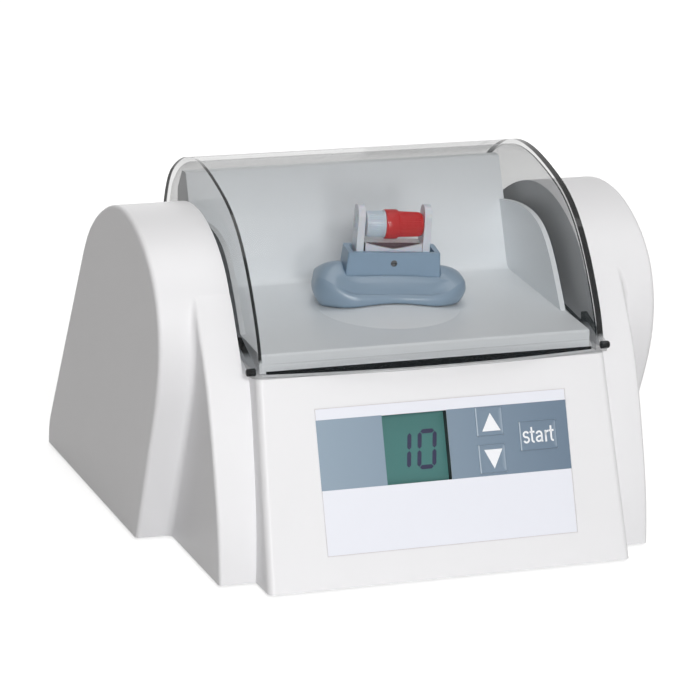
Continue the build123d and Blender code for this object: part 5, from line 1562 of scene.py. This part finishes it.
@dataclass
class MainsSide(Assembly):
    """Rear plate with the mains inlet, fuse drawer and power switch."""

    switch_middle: Spot = (20.0, 32.0 + FOOT)
    face_y: float = 98.5
    hinge_in: float = 3.0
    tilt: float = 8.0
    half_slope: float = math.degrees(math.atan2(1.6, 7.6))
    mark_proud: float = 1.06
    ink: float = 0.04
    screw_x: float = 41.6
    screw_y: float = 96.5
    screw_z: Spot = (12.2 + FOOT, 51.8 + FOOT)

    def build(self) -> None:
        """Dresses the rear and prints the switch's marks."""
        for name, round_mm in (
            ("rear_plate", 0.25),
            ("mains_inlet", 0.3),
            ("fuse_drawer", 0.25),
            ("switch_bezel", 0.3),
        ):
            self.skin(name, BLACK, round_mm)
        self.skin("switch_rocker", ROCKER, 0.4)
        self.dress(BRASS, "inlet_contacts")
        self.dress(FUSE_GLASS, "fuses")
        places = [(side * self.screw_x, self.screw_y, z) for side in (-1, 1) for z in self.screw_z]
        self.screws("rear_screw_heads", places, Matrix.Identity(4), "rear_screws", 3.5, 2.6)
        self.marks()

    def marks(self) -> None:
        """Prints a bar and a ring on the rocker's two halves."""
        bar = Shape().prism(box(-0.35, 0.35, -6.0, -3.0), 0.0, self.ink)
        self.flat("on_mark", bar, self.half(-1), WHITE_PRINT, "rocker")
        rings = [[(x, 4.5 + y, self.ink) for x, y in circle(radius, 32)] for radius in (1.1, 1.7)]
        ring = Shape().loft(rings, caps=(False, False))
        self.flat("off_mark", ring, self.half(1), WHITE_PRINT, "rocker")

    def half(self, side: int) -> Matrix:
        """Frame a little proud of one half of the rocker, its third axis out of the back.

        Args:
            side: minus one for the half with the bar, one for the half with the ring.

        Returns:
            The frame, in millimetres.
        """
        x, z = self.switch_middle
        hinge = shift(x, self.face_y - self.hinge_in, z) @ turn("X", self.tilt)
        face = hinge @ shift(0, self.hinge_in, 0) @ turn("X", side * self.half_slope)
        out = Matrix(((-1, 0, 0), (0, 0, 1), (0, 1, 0))).transposed().to_4x4()
        return face @ shift(0, self.mark_proud, 0) @ out


# ------------------------------------------------------------------ studio
@dataclass
class Studio:
    """Floor, backdrop, lamps and camera."""

    camera_at: Point = (-474.6, -1346.85, 440.22 + FOOT)
    forward: Point = (0.3196, 0.9137, -0.2508)
    up: Point = (0.0734, 0.2400, 0.9680)
    lens: float = 161.9
    aim: Point = (0.0, -20.0, 80.0)
    ambient: float = 0.12
    warm: Point = (1.0, 0.94, 0.88)
    floor_reach: float = 6.0
    floor_tone: float = 0.66
    floor_roughness: float = 0.9
    floor_fade: Spot = (0.25, 0.9)
    floor_glow: Spot = (0.72, 1.0)

    def build(self) -> None:
        """Builds the whole studio."""
        self.camera()
        self.world()
        self.floor()
        self.lamp("key_lamp", (-210.0, -1330.0, 620.0), 420.0, 8.2)
        self.lamp("top_lamp", (60.0, -150.0, 1250.0), 800.0, 5.4)
        self.lamp("back_lamp", (180.0, 1350.0, 560.0), 600.0, 1.1)
        self.lamp("fill_lamp", (-140.0, -1420.0, 130.0), 240.0, 3.2)

    def camera(self) -> None:
        """Camera at the product view's angle."""
        forward = Vector(self.forward).normalized()
        side = forward.cross(Vector(self.up)).normalized()
        turned = Matrix((side, side.cross(forward).normalized(), -forward)).transposed().to_4x4()
        data = bpy.data.cameras.new("view_camera")
        data.sensor_fit = "HORIZONTAL"
        data.sensor_width = 36.0
        data.lens = self.lens
        data.clip_start, data.clip_end = 0.05, 20.0
        camera = stand("view_camera", data)
        camera.matrix_world = Matrix.Translation(Vector(self.camera_at) * MM) @ turned
        bpy.context.scene.camera = camera

    def world(self) -> None:
        """Dim warm surroundings, white to the camera and to reflections."""
        world = bpy.data.worlds.new("studio")
        bpy.context.scene.world = world
        world.use_nodes = True
        graph = Graph(world.node_tree)
        seen = graph.seen()
        strength = graph.ramp(seen, low=self.ambient)
        tone = graph.blend(seen, (*self.warm, 1.0), (1.0, 1.0, 1.0, 1.0))
        graph.feed(world.node_tree.nodes["Background"], {"Color": tone, "Strength": strength})

    def floor(self) -> None:
        """Pale floor that keeps a soft shadow and turns white away from the object."""
        reach = self.floor_reach
        corners = level(box(-reach, reach, -reach, reach), 0.0)
        mesh = new_mesh("studio_floor", corners, [range(4)])
        floor = stand("studio_floor", mesh)
        material, graph, shader = new_material("studio_floor")
        away = graph.add("ShaderNodeVectorMath", {0: graph.place()}, operation="LENGTH")
        glow = graph.ramp(away.outputs["Value"], *self.floor_fade, *self.floor_glow)
        inputs = {
            "Base Color": (self.floor_tone, self.floor_tone, self.floor_tone, 1.0),
            "Roughness": self.floor_roughness,
            "Specular IOR Level": 0.0,
            "Emission Color": (1.0, 1.0, 1.0, 1.0),
            "Emission Strength": graph.calc("MULTIPLY", graph.seen(), glow),
        }
        graph.feed(shader, inputs)
        mesh.materials.append(material)

    def lamp(self, name: str, at: Point, size: float, watts: float) -> None:
        """One soft square lamp that faces the object.

        Args:
            name: the lamp's name.
            at: where it hangs, in millimetres.
            size: its side, in millimetres.
            watts: its power.
        """
        data = bpy.data.lights.new(name, "AREA")
        data.shape = "SQUARE"
        data.size = size * MM
        data.energy = watts
        lamp = stand(name, data)
        lamp.rotation_euler = (Vector(self.aim) - Vector(at)).to_track_quat("-Z", "Y").to_euler()
        lamp.location = Vector(at) * MM


def clear_scene() -> None:
    """Empties Blender's start-up scene."""
    for item in list(bpy.data.objects):
        bpy.data.objects.remove(item)


def main() -> None:
    """Loads the frame, dresses each sub-assembly and sets the studio."""
    clear_scene()
    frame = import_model()
    for kind in (Casing, KeyPanel, Hood, Head, Capsule, Drive, MainsSide):
        kind(frame).build()
    Studio().build()
    view = bpy.context.scene.view_settings
    view.view_transform = "Standard"


if __name__ == "__main__":
    main()
